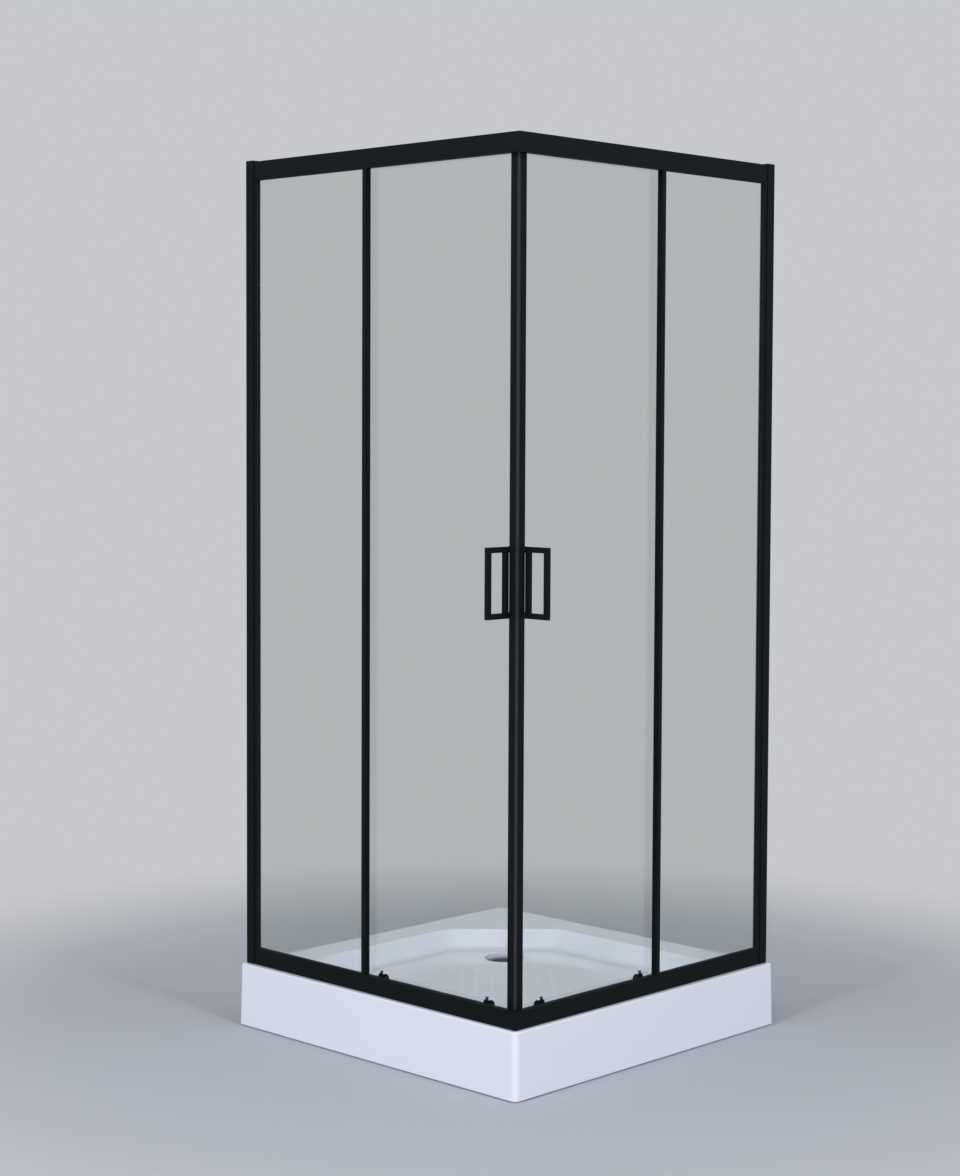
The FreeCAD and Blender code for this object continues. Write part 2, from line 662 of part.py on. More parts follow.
def make_head_rail():
    """A hooked section: the groove for the fixed glass in front, the wheels' track behind."""
    low = HEAD_RAIL_BOTTOM
    ledge = low + HEAD_LEDGE_HEIGHT
    ledge_top = ledge + HEAD_LEDGE_THICKNESS
    rib0 = TRACK_CENTRE - TRACK_RIB_WIDTH / 2
    rib1 = TRACK_CENTRE + TRACK_RIB_WIDTH / 2
    top_wall = side_block(RAIL_START, CORNER, 0, RAIL_DEPTH, HEAD_TOP - RAIL_WALL, HEAD_TOP)
    outer = side_block(RAIL_START, CORNER, 0, RAIL_WALL, low, HEAD_TOP)
    middle = side_block(RAIL_START, CORNER, MID_WALL, MID_WALL_BACK, low, HEAD_TOP)
    inner = side_block(RAIL_START, CORNER, RAIL_DEPTH - RAIL_WALL, RAIL_DEPTH, ledge, HEAD_TOP)
    track = side_block(RAIL_START, CORNER, RAIL_DEPTH - HEAD_LEDGE_WIDTH, RAIL_DEPTH, ledge, ledge_top)
    rib = side_block(RAIL_START, CORNER, rib0, rib1, ledge, TOP_TRACK)
    shape = mitred(join(top_wall, outer, middle, inner, track, rib))
    return cut(shape, *rail_screw_holes(head_bracket_bottom() + BRACKET_HEIGHT / 2))


def make_bottom_rail():
    """The same groove in front, and a low open track for the lower wheels behind."""
    top = BOTTOM_RAIL_TOP
    web = DECK_HEIGHT + BOTTOM_WEB_HEIGHT
    rib0 = TRACK_CENTRE - TRACK_RIB_WIDTH / 2
    rib1 = TRACK_CENTRE + TRACK_RIB_WIDTH / 2
    base = side_block(RAIL_START, CORNER, 0, RAIL_DEPTH, DECK_HEIGHT, DECK_HEIGHT + RAIL_WALL)
    outer = side_block(RAIL_START, CORNER, 0, RAIL_WALL, DECK_HEIGHT, top)
    middle = side_block(RAIL_START, CORNER, MID_WALL, MID_WALL_BACK, DECK_HEIGHT, top)
    floor = side_block(RAIL_START, CORNER, 0, MID_WALL_BACK, web, web + RAIL_WALL)
    rib = side_block(RAIL_START, CORNER, rib0, rib1, DECK_HEIGHT, BOTTOM_TRACK)
    lip_top = DECK_HEIGHT + BOTTOM_LIP_HEIGHT
    lip = side_block(RAIL_START, CORNER, RAIL_DEPTH - RAIL_WALL, RAIL_DEPTH, DECK_HEIGHT, lip_top)
    shape = mitred(join(base, outer, middle, floor, rib, lip))
    return cut(shape, *rail_screw_holes(bottom_bracket_bottom() + BRACKET_HEIGHT / 2))


def make_infill(low, opens_up):
    """A snap-in channel that closes the empty groove from the stile to the corner."""
    high = low + INFILL_HEIGHT
    shape = side_block(STILE_END, CORNER, RAIL_WALL, MID_WALL, low, high)
    hollow_low = low + INFILL_WALL if opens_up else low - CUT_OVERRUN
    hollow_high = high + CUT_OVERRUN if opens_up else high - INFILL_WALL
    front = RAIL_WALL + INFILL_WALL
    back = MID_WALL - INFILL_WALL
    hollow = side_block(STILE_END - CUT_OVERRUN, CORNER, front, back, hollow_low, hollow_high)
    return mitred(cut(shape, hollow))


def make_corner_bracket(low):
    """A cast L that slides into the front grooves of both rails."""
    front = RAIL_WALL + BRACKET_CLEARANCE
    back = MID_WALL - BRACKET_CLEARANCE
    arm = side_block(CORNER - BRACKET_ARM, CORNER - front, front, back, low, low + BRACKET_HEIGHT)
    middle = low + BRACKET_HEIGHT / 2
    deep = MID_WALL_BACK - SCREW_LENGTH - FIT_GAP
    holes = [side_round(x, middle, deep, MID_WALL, SCREW_HOLE_R) for x in rail_screw_places()]
    arm = cut(arm, *holes)
    return join(arm, mirrored(arm))


# Fixed glass
def fixed_glass_box():
    """The fixed pane's x and z limits."""
    x0 = RAIL_START - GLASS_EDGE_COVER
    x1 = STILE_START + STILE_GROOVE - GASKET_BOTTOM
    z0 = BOTTOM_RAIL_TOP - GLASS_RAIL_COVER
    z1 = HEAD_RAIL_BOTTOM + GLASS_RAIL_COVER
    return x0, x1, z0, z1


def make_fixed_glass():
    x0, x1, z0, z1 = fixed_glass_box()
    back = FIXED_GLASS_FRONT + GLASS_THICKNESS
    return side_block(x0, x1, FIXED_GLASS_FRONT, back, z0, z1)


def make_glazing_gasket():
    """A rubber frame that fills the grooves round the pane and stands a lip proud."""
    x0, x1, z0, z1 = fixed_glass_box()
    front = MEMBER_SETBACK + MEMBER_WALL
    back = MEMBER_BACK - MEMBER_WALL
    edge = GASKET_BOTTOM
    shape = side_block(x0 - edge, x1 + edge, front, back, z0 - edge, z1 + edge)
    lip = GASKET_LIP
    inside = side_block(
        RAIL_START + lip, STILE_START - lip, front - CUT_OVERRUN, back + CUT_OVERRUN,
        BOTTOM_RAIL_TOP + lip, HEAD_RAIL_BOTTOM - lip)
    return cut(shape, make_fixed_glass(), inside)


# Door
def make_door_glass():
    z0 = DECK_HEIGHT + DOOR_GLASS_BOTTOM
    z1 = HEAD_TOP - DOOR_GLASS_TOP
    pane = side_block(DOOR_TRAILING, DOOR_LEADING, DOOR_FRONT, DOOR_BACK, z0, z1)
    places = [(x, TOP_AXLE) for x in ROLLER_PLACES]
    places += [(x + DOME_OFFSET, DOME_HEIGHT) for x in ROLLER_PLACES]
    places += [(HANDLE_AXIS, z) for z in handle_screw_heights()]
    low = DOOR_FRONT - CUT_OVERRUN
    high = DOOR_BACK + CUT_OVERRUN
    holes = [side_round(x, z, low, high, GLASS_HOLE_R) for x, z in places]
    return cut(pane, *holes)


def make_door_stile():
    """A tube with a pocket for the glass and one for the seal's foot, and a web between them.

    Its inner corner is cut back to stay clear of the other door.
    """
    shape = side_plan(stile_plan(0), DOOR_LOW, DOOR_HIGH)
    hollow = side_plan(stile_plan(DOOR_STILE_WALL), 0, HEAD_TOP)
    web_end = DOOR_LEADING + DOOR_STILE_WALL
    web = side_block(DOOR_LEADING, web_end, DOOR_STILE_OUTER, DOOR_STILE_INNER, 0, HEAD_TOP)
    slot = side_block(DOOR_STILE_START - CUT_OVERRUN, DOOR_LEADING, DOOR_FRONT, DOOR_BACK, 0, HEAD_TOP)
    foot0, foot1 = magnet_foot()
    foot_slot = side_block(web_end, CORNER, foot0 - FIT_GAP, foot1 + FIT_GAP, 0, HEAD_TOP)
    return cut(shape, hollow.cut(web), slot, foot_slot)


def stile_plan(wall):
    """The leading stile's outline, drawn in by a wall on every side."""
    x0 = DOOR_STILE_START + wall
    x1 = DOOR_STILE_END - wall
    front = DOOR_STILE_OUTER + wall
    back = DOOR_STILE_INNER - wall
    limit = CORNER - DOOR_STILE_CLEARANCE - wall * math.sqrt(2)
    return [(x0, front), (x1, front), (x1, limit - x1), (limit - back, back), (x0, back)]


def magnet_foot():
    """The seal's foot, as depths, in the middle of its own depth."""
    middle = MAGNET_FRONT + MAGNET_DEPTH / 2
    return middle - MAGNET_FOOT_WIDTH / 2, middle + MAGNET_FOOT_WIDTH / 2


def make_magnetic_seal():
    """A wedge that meets the other door's seal on the corner's diagonal."""
    gap = MAGNET_GAP * math.sqrt(2)
    back = MAGNET_FRONT + MAGNET_DEPTH
    x0 = DOOR_STILE_END
    wedge = side_plan([
        (x0, MAGNET_FRONT),
        (CORNER - MAGNET_FRONT - gap, MAGNET_FRONT),
        (CORNER - back - gap, back),
        (x0, back),
    ], DOOR_LOW, DOOR_HIGH)
    foot0, foot1 = magnet_foot()
    foot = side_block(x0 - MAGNET_FOOT_LENGTH, x0, foot0, foot1, DOOR_LOW, DOOR_HIGH)
    return join(wedge, foot)


def make_trailing_seal():
    """A clip over the glass edge with a fin that wipes the fixed stile."""
    front = DOOR_FRONT - TRAILING_SEAL_WALL
    back = DOOR_BACK + TRAILING_SEAL_WALL
    x0 = DOOR_TRAILING - TRAILING_SEAL_LIP
    x1 = DOOR_TRAILING + TRAILING_SEAL_COVER
    clip = side_block(x0, x1, front, back, DOOR_LOW, DOOR_HIGH)
    groove = side_block(DOOR_TRAILING, x1 + CUT_OVERRUN, DOOR_FRONT, DOOR_BACK, 0, HEAD_TOP)
    fin_front = MEMBER_BACK + TRAILING_FIN_GAP
    fin = side_block(x0, x0 + TRAILING_FIN_WALL, fin_front, front, DOOR_LOW, DOOR_HIGH)
    return join(cut(clip, groove), fin)


def handle_screw_heights():
    return [HANDLE_CENTRE_HEIGHT - HANDLE_SCREW_PITCH / 2, HANDLE_CENTRE_HEIGHT + HANDLE_SCREW_PITCH / 2]


def make_handle():
    """A rectangular ring of flat bar that stands out from the glass."""
    outer = DOOR_FRONT - HANDLE_DEPTH
    z0 = HANDLE_CENTRE_HEIGHT - HANDLE_LENGTH / 2
    z1 = HANDLE_CENTRE_HEIGHT + HANDLE_LENGTH / 2
    bar = HANDLE_BAR
    ring = side_block(HANDLE_START, HANDLE_END, outer, DOOR_FRONT, z0, z1)
    x0 = HANDLE_START - CUT_OVERRUN
    x1 = HANDLE_END + CUT_OVERRUN
    ring = cut(ring, side_block(x0, x1, outer + bar, DOOR_FRONT - bar, z0 + bar, z1 - bar))
    ring = ring.makeFillet(HANDLE_EDGE_R, ring.Edges)
    deep = DOOR_FRONT - HANDLE_SCREW_DEPTH
    radius = HANDLE_SCREW_R + BORE_GAP
    return cut(ring, *[side_round(HANDLE_AXIS, z, deep, DOOR_FRONT, radius) for z in handle_screw_heights()])


def make_door_fixings():
    """Handle screws with their caps, the upper wheels' bolts and the lower housings' bolts."""
    parts = []
    for z in handle_screw_heights():
        cap_end = DOOR_BACK + HANDLE_CAP_HEIGHT
        cap = side_round(HANDLE_AXIS, z, DOOR_BACK, cap_end, HANDLE_CAP_R)
        shank_start = DOOR_FRONT - HANDLE_SCREW_DEPTH + FIT_GAP
        parts.append(join(cap, side_round(HANDLE_AXIS, z, shank_start, DOOR_BACK, HANDLE_SCREW_R)))
    head = DOOR_FRONT - BOLT_HEAD_HEIGHT
    for x in ROLLER_PLACES:
        bolt_head = side_round(x, TOP_AXLE, head, DOOR_FRONT, BOLT_HEAD_R)
        parts.append(join(bolt_head, side_round(x, TOP_AXLE, DOOR_FRONT, AXLE_END, AXLE_R)))
        dome = x + DOME_OFFSET
        end = DOOR_BACK + HOUSING_THICKNESS - FIT_GAP
        bolt_head = side_round(dome, DOME_HEIGHT, head, DOOR_FRONT, BOLT_HEAD_R)
        parts.append(join(bolt_head, side_round(dome, DOME_HEIGHT, DOOR_FRONT, end, AXLE_R)))
    return parts


# Rollers
def make_wheel(x, axle, radius, groove_radius):
    """A grooved wheel: two flanges either side of the rib that it rolls on."""
    side = (WHEEL_WIDTH - WHEEL_GROOVE_WIDTH) / 2
    hub = side_round(x, axle, WHEEL_FRONT, WHEEL_BACK, groove_radius)
    front = side_round(x, axle, WHEEL_FRONT, WHEEL_FRONT + side, radius)
    back = side_round(x, axle, WHEEL_BACK - side, WHEEL_BACK, radius)
    low = WHEEL_FRONT - CUT_OVERRUN
    bore = side_round(x, axle, low, WHEEL_BACK + CUT_OVERRUN, AXLE_R + BORE_GAP)
    return cut(join(hub, front, back), bore)


def make_top_roller_mount(x):
    """A round spacer on the glass that carries the upper wheel's bolt clear of the ledge."""
    face = DOOR_BACK + ROLLER_MOUNT_THICKNESS
    disc = side_round(x, TOP_AXLE, DOOR_BACK, face, ROLLER_MOUNT_R)
    hub = side_round(x, TOP_AXLE, face, WHEEL_FRONT - SLIDER_FACE_GAP, ROLLER_HUB_R)
    bore = side_round(x, TOP_AXLE, DOOR_BACK - CUT_OVERRUN, WHEEL_BACK, AXLE_R + BORE_GAP)
    return cut(join(disc, hub), bore)


def make_bottom_roller_housing(x):
    """A moulded plate on the glass: a guide slot for the slider and a domed bolt cover."""
    face = DOOR_BACK + HOUSING_THICKNESS
    half_slot = SLIDER_WIDTH / 2 + FIT_GAP
    dome = x + DOME_OFFSET
    low = DECK_HEIGHT + HOUSING_BASE
    high = DECK_HEIGHT + HOUSING_TOP
    plate = side_block(x - half_slot - HOUSING_SIDE, dome, DOOR_BACK, face, low, high)
    cover = side_round(dome, DOME_HEIGHT, DOOR_BACK, face, HOUSING_DOME_R)
    crown = side_round(dome, DOME_HEIGHT, face, face + HOUSING_DOME_RISE, HOUSING_DOME_R - HOUSING_DOME_RISE)
    end = dome + HOUSING_DOME_R
    skirt = side_block(dome, end, DOOR_BACK, face, low, DOME_HEIGHT)
    slot_back = DOOR_BACK + HOUSING_BACK
    slot = side_block(x - half_slot, x + half_slot, slot_back, face + CUT_OVERRUN, 0, HEAD_TOP)
    bore = side_round(dome, DOME_HEIGHT, 0, face, AXLE_R + BORE_GAP)
    return cut(join(plate, cover, crown, skirt), slot, bore)


def make_release_slider(x):
    """The lower wheel's carrier, with its axle and a ridged thumb tab that lifts it off the track."""
    half = SLIDER_WIDTH / 2
    tab_half = SLIDER_TAB_WIDTH / 2
    back = DOOR_BACK + HOUSING_BACK + FIT_GAP
    face = WHEEL_FRONT - SLIDER_FACE_GAP
    low = DECK_HEIGHT + HOUSING_BASE
    shoulder = DECK_HEIGHT + HOUSING_TOP
    top = DECK_HEIGHT + SLIDER_TOP
    column = side_block(x - half, x + half, back, face, low, shoulder)
    tab = side_block(x - tab_half, x + tab_half, back, face, shoulder, top)
    ridge_end = face + SLIDER_RIDGE_REACH
    ridge = side_block(x - tab_half, x + tab_half, face, ridge_end, top - SLIDER_RIDGE_HEIGHT, top)
    axle = side_round(x, BOTTOM_AXLE, face, AXLE_END, AXLE_R)
    return join(column, tab, ridge, axle)


# Stops and screws
def make_door_stops():
    """Rubber blocks on the head rail's ledge that the upper wheels come to at each end."""
    blocks = []
    ledge_top = HEAD_RAIL_BOTTOM + HEAD_LEDGE_HEIGHT + HEAD_LEDGE_THICKNESS
    entry = ROLLER_PLACES[1] + TOP_WHEEL_R + STOP_GAP
    wall = ROLLER_PLACES[0] - DOOR_TRAVEL - TOP_WHEEL_R - STOP_GAP - STOP_LENGTH
    for x in (wall, entry):
        front = WHEEL_FRONT
        back = RAIL_DEPTH - RAIL_WALL
        stop = side_block(x, x + STOP_LENGTH, front, back, ledge_top, ledge_top + STOP_HEIGHT)
        half = TRACK_RIB_WIDTH / 2 + FIT_GAP
        rib = side_block(
            x - CUT_OVERRUN, x + STOP_LENGTH + CUT_OVERRUN, TRACK_CENTRE - half, TRACK_CENTRE + half,
            0, TOP_TRACK + FIT_GAP)
        blocks.append(cut(stop, rib))
    return blocks


def make_screw(x, z, seat):
    """A pan-head screw driven outwards from a face at a depth."""
    head = side_round(x, z, seat, seat + SCREW_HEAD_HEIGHT, SCREW_HEAD_R)
    return join(head, side_round(x, z, seat - SCREW_LENGTH, seat, SCREW_R))


def make_frame_screws():
    x = WALL_X + JAMB_SCREW_FROM_WALL
    screws = [make_screw(x, z, MEMBER_BACK + CHANNEL_WALL) for z in wall_hole_heights()]
    for low in (head_bracket_bottom(), bottom_bracket_bottom()):
        middle = low + BRACKET_HEIGHT / 2
        screws += [make_screw(place, middle, MID_WALL_BACK) for place in rail_screw_places()]
    return screws


def both_sides(solids):
    return solids + [mirrored(solid) for solid in solids]


def main():
    os.makedirs("parts", exist_ok=True)

    save("tray", make_tray())
    save("base_board", make_base_board())
    save("foot_sockets", *[make_foot_socket(x, y) for x, y in FOOT_PLACES.values()])
    save("foot_lock_nuts", *[make_lock_nut(x, y) for x, y in FOOT_PLACES.values()])
    for name, (x, y) in FOOT_PLACES.items():
        save("levelling_foot_" + name, make_foot(x, y))

    save("drain_flange", make_drain_flange())
    save("drain_gasket", make_drain_gasket())
    save("drain_trap", make_drain_trap())
    save("drain_cover", make_drain_cover())

    save_sides("wall_channel", make_wall_channel())
    save_sides("jamb", make_jamb())
    save_sides("head_rail", make_head_rail())
    save_sides("bottom_rail", make_bottom_rail())
    save("head_corner_bracket", make_corner_bracket(head_bracket_bottom()))
    save("bottom_corner_bracket", make_corner_bracket(bottom_bracket_bottom()))
    save("channel_caps", *both_sides([make_channel_cap()]))
    head_infill = make_infill(HEAD_RAIL_BOTTOM, True)
    bottom_infill = make_infill(BOTTOM_RAIL_TOP - INFILL_HEIGHT, False)
    save("groove_infill_strips", *both_sides([head_infill, bottom_infill]))
    save("frame_screws", *both_sides(make_frame_screws()))
    save("door_stops", *both_sides(make_door_stops()))

    save_sides("fixed_stile", make_fixed_stile())
    save_sides("fixed_glass", make_fixed_glass())
    save("glazing_gaskets", *both_sides([make_glazing_gasket()]))

    save_sides("door_glass", make_door_glass())
    save_sides("door_stile", make_door_stile())
    save_sides("magnetic_seal", make_magnetic_seal())
    save_sides("trailing_seal", make_trailing_seal())
    save_sides("handle", make_handle())
    save_sides("door_fixings", *make_door_fixings())
    save_sides("top_roller_mounts", *[make_top_roller_mount(x) for x in ROLLER_PLACES])
    save_sides("bottom_roller_housings", *[make_bottom_roller_housing(x) for x in ROLLER_PLACES])
    for name, x in zip(ROLLER_NAMES, ROLLER_PLACES):
        save_sides("top_wheel_" + name, make_wheel(x, TOP_AXLE, TOP_WHEEL_R, TOP_WHEEL_GROOVE_R))
        save_sides("release_slider_" + name, make_release_slider(x))
        save_sides("bottom_wheel_" + name, make_wheel(x, BOTTOM_AXLE, BOTTOM_WHEEL_R, BOTTOM_WHEEL_GROOVE_R))


main()
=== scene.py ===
import json
import math
from itertools import pairwise

import bmesh
import bpy
from mathutils import Matrix, Vector

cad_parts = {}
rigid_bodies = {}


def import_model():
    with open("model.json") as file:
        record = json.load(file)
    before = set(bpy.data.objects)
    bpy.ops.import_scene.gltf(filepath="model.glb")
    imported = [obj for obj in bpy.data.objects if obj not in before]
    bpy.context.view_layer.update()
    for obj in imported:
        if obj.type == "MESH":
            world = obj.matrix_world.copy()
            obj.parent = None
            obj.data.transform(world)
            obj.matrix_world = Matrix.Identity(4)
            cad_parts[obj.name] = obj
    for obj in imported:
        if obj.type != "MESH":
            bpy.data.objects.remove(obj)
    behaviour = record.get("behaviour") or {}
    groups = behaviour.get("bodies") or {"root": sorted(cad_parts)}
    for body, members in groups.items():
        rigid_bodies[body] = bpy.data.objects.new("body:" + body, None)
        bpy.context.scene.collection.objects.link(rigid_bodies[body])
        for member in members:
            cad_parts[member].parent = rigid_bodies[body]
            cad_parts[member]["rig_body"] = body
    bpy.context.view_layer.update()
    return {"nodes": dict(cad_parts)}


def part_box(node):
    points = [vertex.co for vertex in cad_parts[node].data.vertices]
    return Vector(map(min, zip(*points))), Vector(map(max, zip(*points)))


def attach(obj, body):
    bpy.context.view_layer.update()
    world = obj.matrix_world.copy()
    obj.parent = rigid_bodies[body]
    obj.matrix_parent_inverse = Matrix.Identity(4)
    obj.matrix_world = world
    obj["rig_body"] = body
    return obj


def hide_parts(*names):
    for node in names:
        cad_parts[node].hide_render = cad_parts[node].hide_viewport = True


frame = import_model()

# Studio
# A pale floor that fades into a plain backdrop, and soft square lamps in front and above.
# The camera stands before the entry corner, at chest height.
photo_height = 1176
camera_place = Vector((3.7018, -3.9287, 1.4429))
camera_turn = math.radians(44.03)
camera_tilt = math.radians(-3.01)
camera_roll = math.radians(0.24)
focal_pixels = 2279.3
optical_centre_row = 542.1
sensor_length = 36.0

camera = bpy.data.objects.new("camera", bpy.data.cameras.new("camera"))
bpy.context.scene.collection.objects.link(camera)
bpy.context.scene.camera = camera
camera.matrix_world = (
    Matrix.Translation(camera_place)
    @ Matrix.Rotation(camera_turn, 4, "Z")
    @ Matrix.Rotation(math.pi / 2 + camera_tilt, 4, "X")
    @ Matrix.Rotation(camera_roll, 4, "Z")
)
camera.data.sensor_width = sensor_length
camera.data.lens = sensor_length * focal_pixels / photo_height
camera.data.shift_y = (optical_centre_row - photo_height / 2) / photo_height

bpy.context.scene.view_settings.view_transform = "Standard"

backdrop_colour = (0.575, 0.583, 0.603, 1)
black_flag_colour = (0.03, 0.035, 0.04, 1)
black_flag_direction = Vector((-0.47, 0.47, 0.75)).normalized()
black_flag_edge = 0.91
black_flag_full = 0.955
floor_colour = (0.416, 0.443, 0.495, 1)
ambient_level = 0.43
floor_radius = 14.0
floor_corners = 96
floor_fade_start = 0.95
floor_fade_end = 2.2
lamp_aim = (0, 0, 1.0)
front_lamp_width = 2.6
front_left_place = (0.4, -5.6, 2.15)
front_left_watts = 166
front_right_place = (5.6, -0.4, 2.05)
front_right_watts = 133
overhead_lamp_width = 2.4
overhead_place = (0.3, -0.3, 4.6)
overhead_watts = 13
ceiling_lamp_width = 0.5
left_ceiling_place = (0.7, -3.2, 3.5)
right_ceiling_place = (3.2, -0.7, 3.5)
ceiling_lamp_watts = 30


def combine(tree, operation, first, second):
    """One number made of two."""
    result = tree.nodes.new("ShaderNodeMath")
    result.operation = operation
    tree.links.new(first, result.inputs[0])
    tree.links.new(second, result.inputs[1])
    return result.outputs[0]


def spread(tree, value, reach, onto=(0, 1), kind="LINEAR"):
    """Maps one range of a value onto another."""
    ramp = tree.nodes.new("ShaderNodeMapRange")
    ramp.interpolation_type = kind
    for socket, limit in zip(("From Min", "From Max", "To Min", "To Max"), (*reach, *onto)):
        ramp.inputs[socket].default_value = limit
    tree.links.new(value, ramp.inputs["Value"])
    return ramp.outputs["Result"]


def seen_directly(tree):
    """One where the camera, a mirror or a pane of glass looks, and zero for soft light."""
    path = tree.nodes.new("ShaderNodeLightPath")
    seen = combine(tree, "MAXIMUM", path.outputs["Is Camera Ray"], path.outputs["Is Glossy Ray"])
    return combine(tree, "MAXIMUM", seen, path.outputs["Is Transmission Ray"])


def mix_shaders(tree, factor, first, second):
    mix = tree.nodes.new("ShaderNodeMixShader")
    tree.links.new(factor, mix.inputs["Fac"])
    tree.links.new(first, mix.inputs[1])
    tree.links.new(second, mix.inputs[2])
    return mix.outputs[0]


def tint(tree, value, first, second):
    """Mixes two colours by a value from zero to one."""
    mix = tree.nodes.new("ShaderNodeMix")
    mix.data_type = "RGBA"
    mix.inputs["A"].default_value = first
    mix.inputs["B"].default_value = second
    tree.links.new(value, mix.inputs["Factor"])
    return mix.outputs["Result"]


def black_flag(tree):
    """One towards a dark card high behind the cabin, in mirrors only, so that chrome shows its curves."""
    direction = tree.nodes.new("ShaderNodeTexCoord")
    nearness = tree.nodes.new("ShaderNodeVectorMath")
    nearness.operation = "DOT_PRODUCT"
    nearness.inputs[1].default_value = black_flag_direction
    tree.links.new(direction.outputs["Generated"], nearness.inputs[0])
    card = spread(tree, nearness.outputs["Value"], (black_flag_edge, black_flag_full))
    path = tree.nodes.new("ShaderNodeLightPath")
    return combine(tree, "MULTIPLY", card, path.outputs["Is Glossy Ray"])


world = bpy.data.worlds.new("studio")
bpy.context.scene.world = world
world.use_nodes = True
world.node_tree.nodes.clear()
soft_light = world.node_tree.nodes.new("ShaderNodeBackground")
soft_light.inputs["Color"].default_value = (1, 1, 1, 1)
soft_light.inputs["Strength"].default_value = ambient_level
backdrop = world.node_tree.nodes.new("ShaderNodeBackground")
room = tint(world.node_tree, black_flag(world.node_tree), backdrop_colour, black_flag_colour)
world.node_tree.links.new(room, backdrop.inputs["Color"])
world_output = world.node_tree.nodes.new("ShaderNodeOutputWorld")
world_shader = mix_shaders(
    world.node_tree, seen_directly(world.node_tree), soft_light.outputs[0], backdrop.outputs[0])
world.node_tree.links.new(world_shader, world_output.inputs["Surface"])


def bare_material(name):
    """A material with nothing in it but its output."""
    material = bpy.data.materials.new(name)
    material.use_nodes = True
    material.node_tree.nodes.clear()
    output = material.node_tree.nodes.new("ShaderNodeOutputMaterial")
    return material, material.node_tree, output.inputs["Surface"]


def studio_floor():
    material, tree, surface = bare_material("studio_floor")
    matt = tree.nodes.new("ShaderNodeBsdfDiffuse")
    matt.inputs["Color"].default_value = floor_colour
    far = tree.nodes.new("ShaderNodeEmission")
    far.inputs["Color"].default_value = backdrop_colour
    place = tree.nodes.new("ShaderNodeTexCoord")
    distance = tree.nodes.new("ShaderNodeVectorMath")
    distance.operation = "LENGTH"
    tree.links.new(place.outputs["Object"], distance.inputs[0])
    fade = spread(tree, distance.outputs["Value"], (floor_fade_start, floor_fade_end), kind="SMOOTHSTEP")
    faded = combine(tree, "MULTIPLY", fade, seen_directly(tree))
    tree.links.new(mix_shaders(tree, faded, matt.outputs[0], far.outputs[0]), surface)
    return material


def deselect_all():
    if bpy.context.mode != "OBJECT":
        bpy.ops.object.mode_set(mode="OBJECT")
    bpy.ops.object.select_all(action="DESELECT")


deselect_all()
bpy.ops.mesh.primitive_circle_add(vertices=floor_corners, radius=floor_radius, fill_type="NGON")
floor = bpy.context.object
floor.name = "studio_floor"
floor.data.materials.append(studio_floor())


def soft_lamp(name, place, width, watts, in_glass=True):
    """A square lamp that faces the cabin. One that isn't in_glass never shows in or through a pane."""
    lamp = bpy.data.objects.new(name, bpy.data.lights.new(name, "AREA"))
    bpy.context.scene.collection.objects.link(lamp)
    lamp.data.size = width
    lamp.data.energy = watts
    lamp.visible_glossy = in_glass
    lamp.visible_transmission = in_glass
    lamp.location = place
    lamp.rotation_euler = (Vector(lamp_aim) - Vector(place)).to_track_quat("-Z", "Y").to_euler()


soft_lamp("front_left_lamp", front_left_place, front_lamp_width, front_left_watts, in_glass=False)
soft_lamp("front_right_lamp", front_right_place, front_lamp_width, front_right_watts, in_glass=False)
soft_lamp("overhead_lamp", overhead_place, overhead_lamp_width, overhead_watts)
soft_lamp("left_ceiling_lamp", left_ceiling_place, ceiling_lamp_width, ceiling_lamp_watts)
soft_lamp("right_ceiling_lamp", right_ceiling_place, ceiling_lamp_width, ceiling_lamp_watts)

# Tray
# One sheet of white acrylic drawn down over a mould: a flat ledge for the frame, a basin
# with a cut-off back corner and a low round seat for the drain, and a skirt on the two
# entry sides. The back of the sheet is laid up with glass fibre.
tray_low, tray_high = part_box("tray")
tray_half = tray_high.x
deck = tray_high.z
tray_wall = 0.005
skirt_foot = tray_low.z
skirt_draft = 0.005
skirt_corner_r = 0.014
skirt_corner_steps = 10
skirt_edge_r = 0.004
skirt_edge_steps = 5
skirt_return = 0.030
flange_height = 0.035
wall_ledge = 0.088
entry_ledge = 0.062
basin_chamfer = 0.200
basin_corner_r = 0.062
basin_corner_steps = 12
basin_depth = 0.045
basin_slope_run = 0.038
basin_rim_r = 0.006
basin_rim_steps = 4
basin_floor_r = 0.036
basin_floor_steps = 10
drain_place = (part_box("drain_cover")[0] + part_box("drain_cover")[1]) / 2
drain_seat_r = 0.048
drain_seat_depth = 0.004
drain_seat_edge = 0.0012
drain_seat_edge_steps = 3
drain_hole_r = 0.027
grip_dot_r = 0.0036
grip_dot_height = 0.0008
grip_dot_sunk = 0.0003
grip_dot_corners = 12
dot_shoulder_share = 0.3
dot_shoulder_rise_share = 0.7
dot_crown_share = 0.35
grip_dot_pitch = 0.050
grip_area_r = 0.192
grip_drain_gap = 0.024
acrylic_white = (0.675, 0.704, 0.80, 1)
acrylic_mottle = (7, 2, 0.985, 1.01)
acrylic_polish = (45, 4, 0.09, 0.15)
acrylic_texture = (60, 2, 0.25, 0.0002)
fibre_backing = (0.52, 0.52, 0.47, 1)
fibre_mottle = (160, 8, 0.8, 1.12)
fibre_texture = (160, 8, 0.8, 0.0012)
noise_reach = (0.3, 0.7)
merge_distance = 1e-6
rim_limit = 1e-4
facing_limit = 0.99
smooth_angle = math.radians(38)
cylinder_corners = 64


def noise_at(tree, features_per_metre, detail):
    """Noise fixed to the piece."""
    place = tree.nodes.new("ShaderNodeTexCoord")
    noise = tree.nodes.new("ShaderNodeTexNoise")
    noise.inputs["Scale"].default_value = features_per_metre
    noise.inputs["Detail"].default_value = detail
    tree.links.new(place.outputs["Object"], noise.inputs["Vector"])
    return noise.outputs["Fac"]


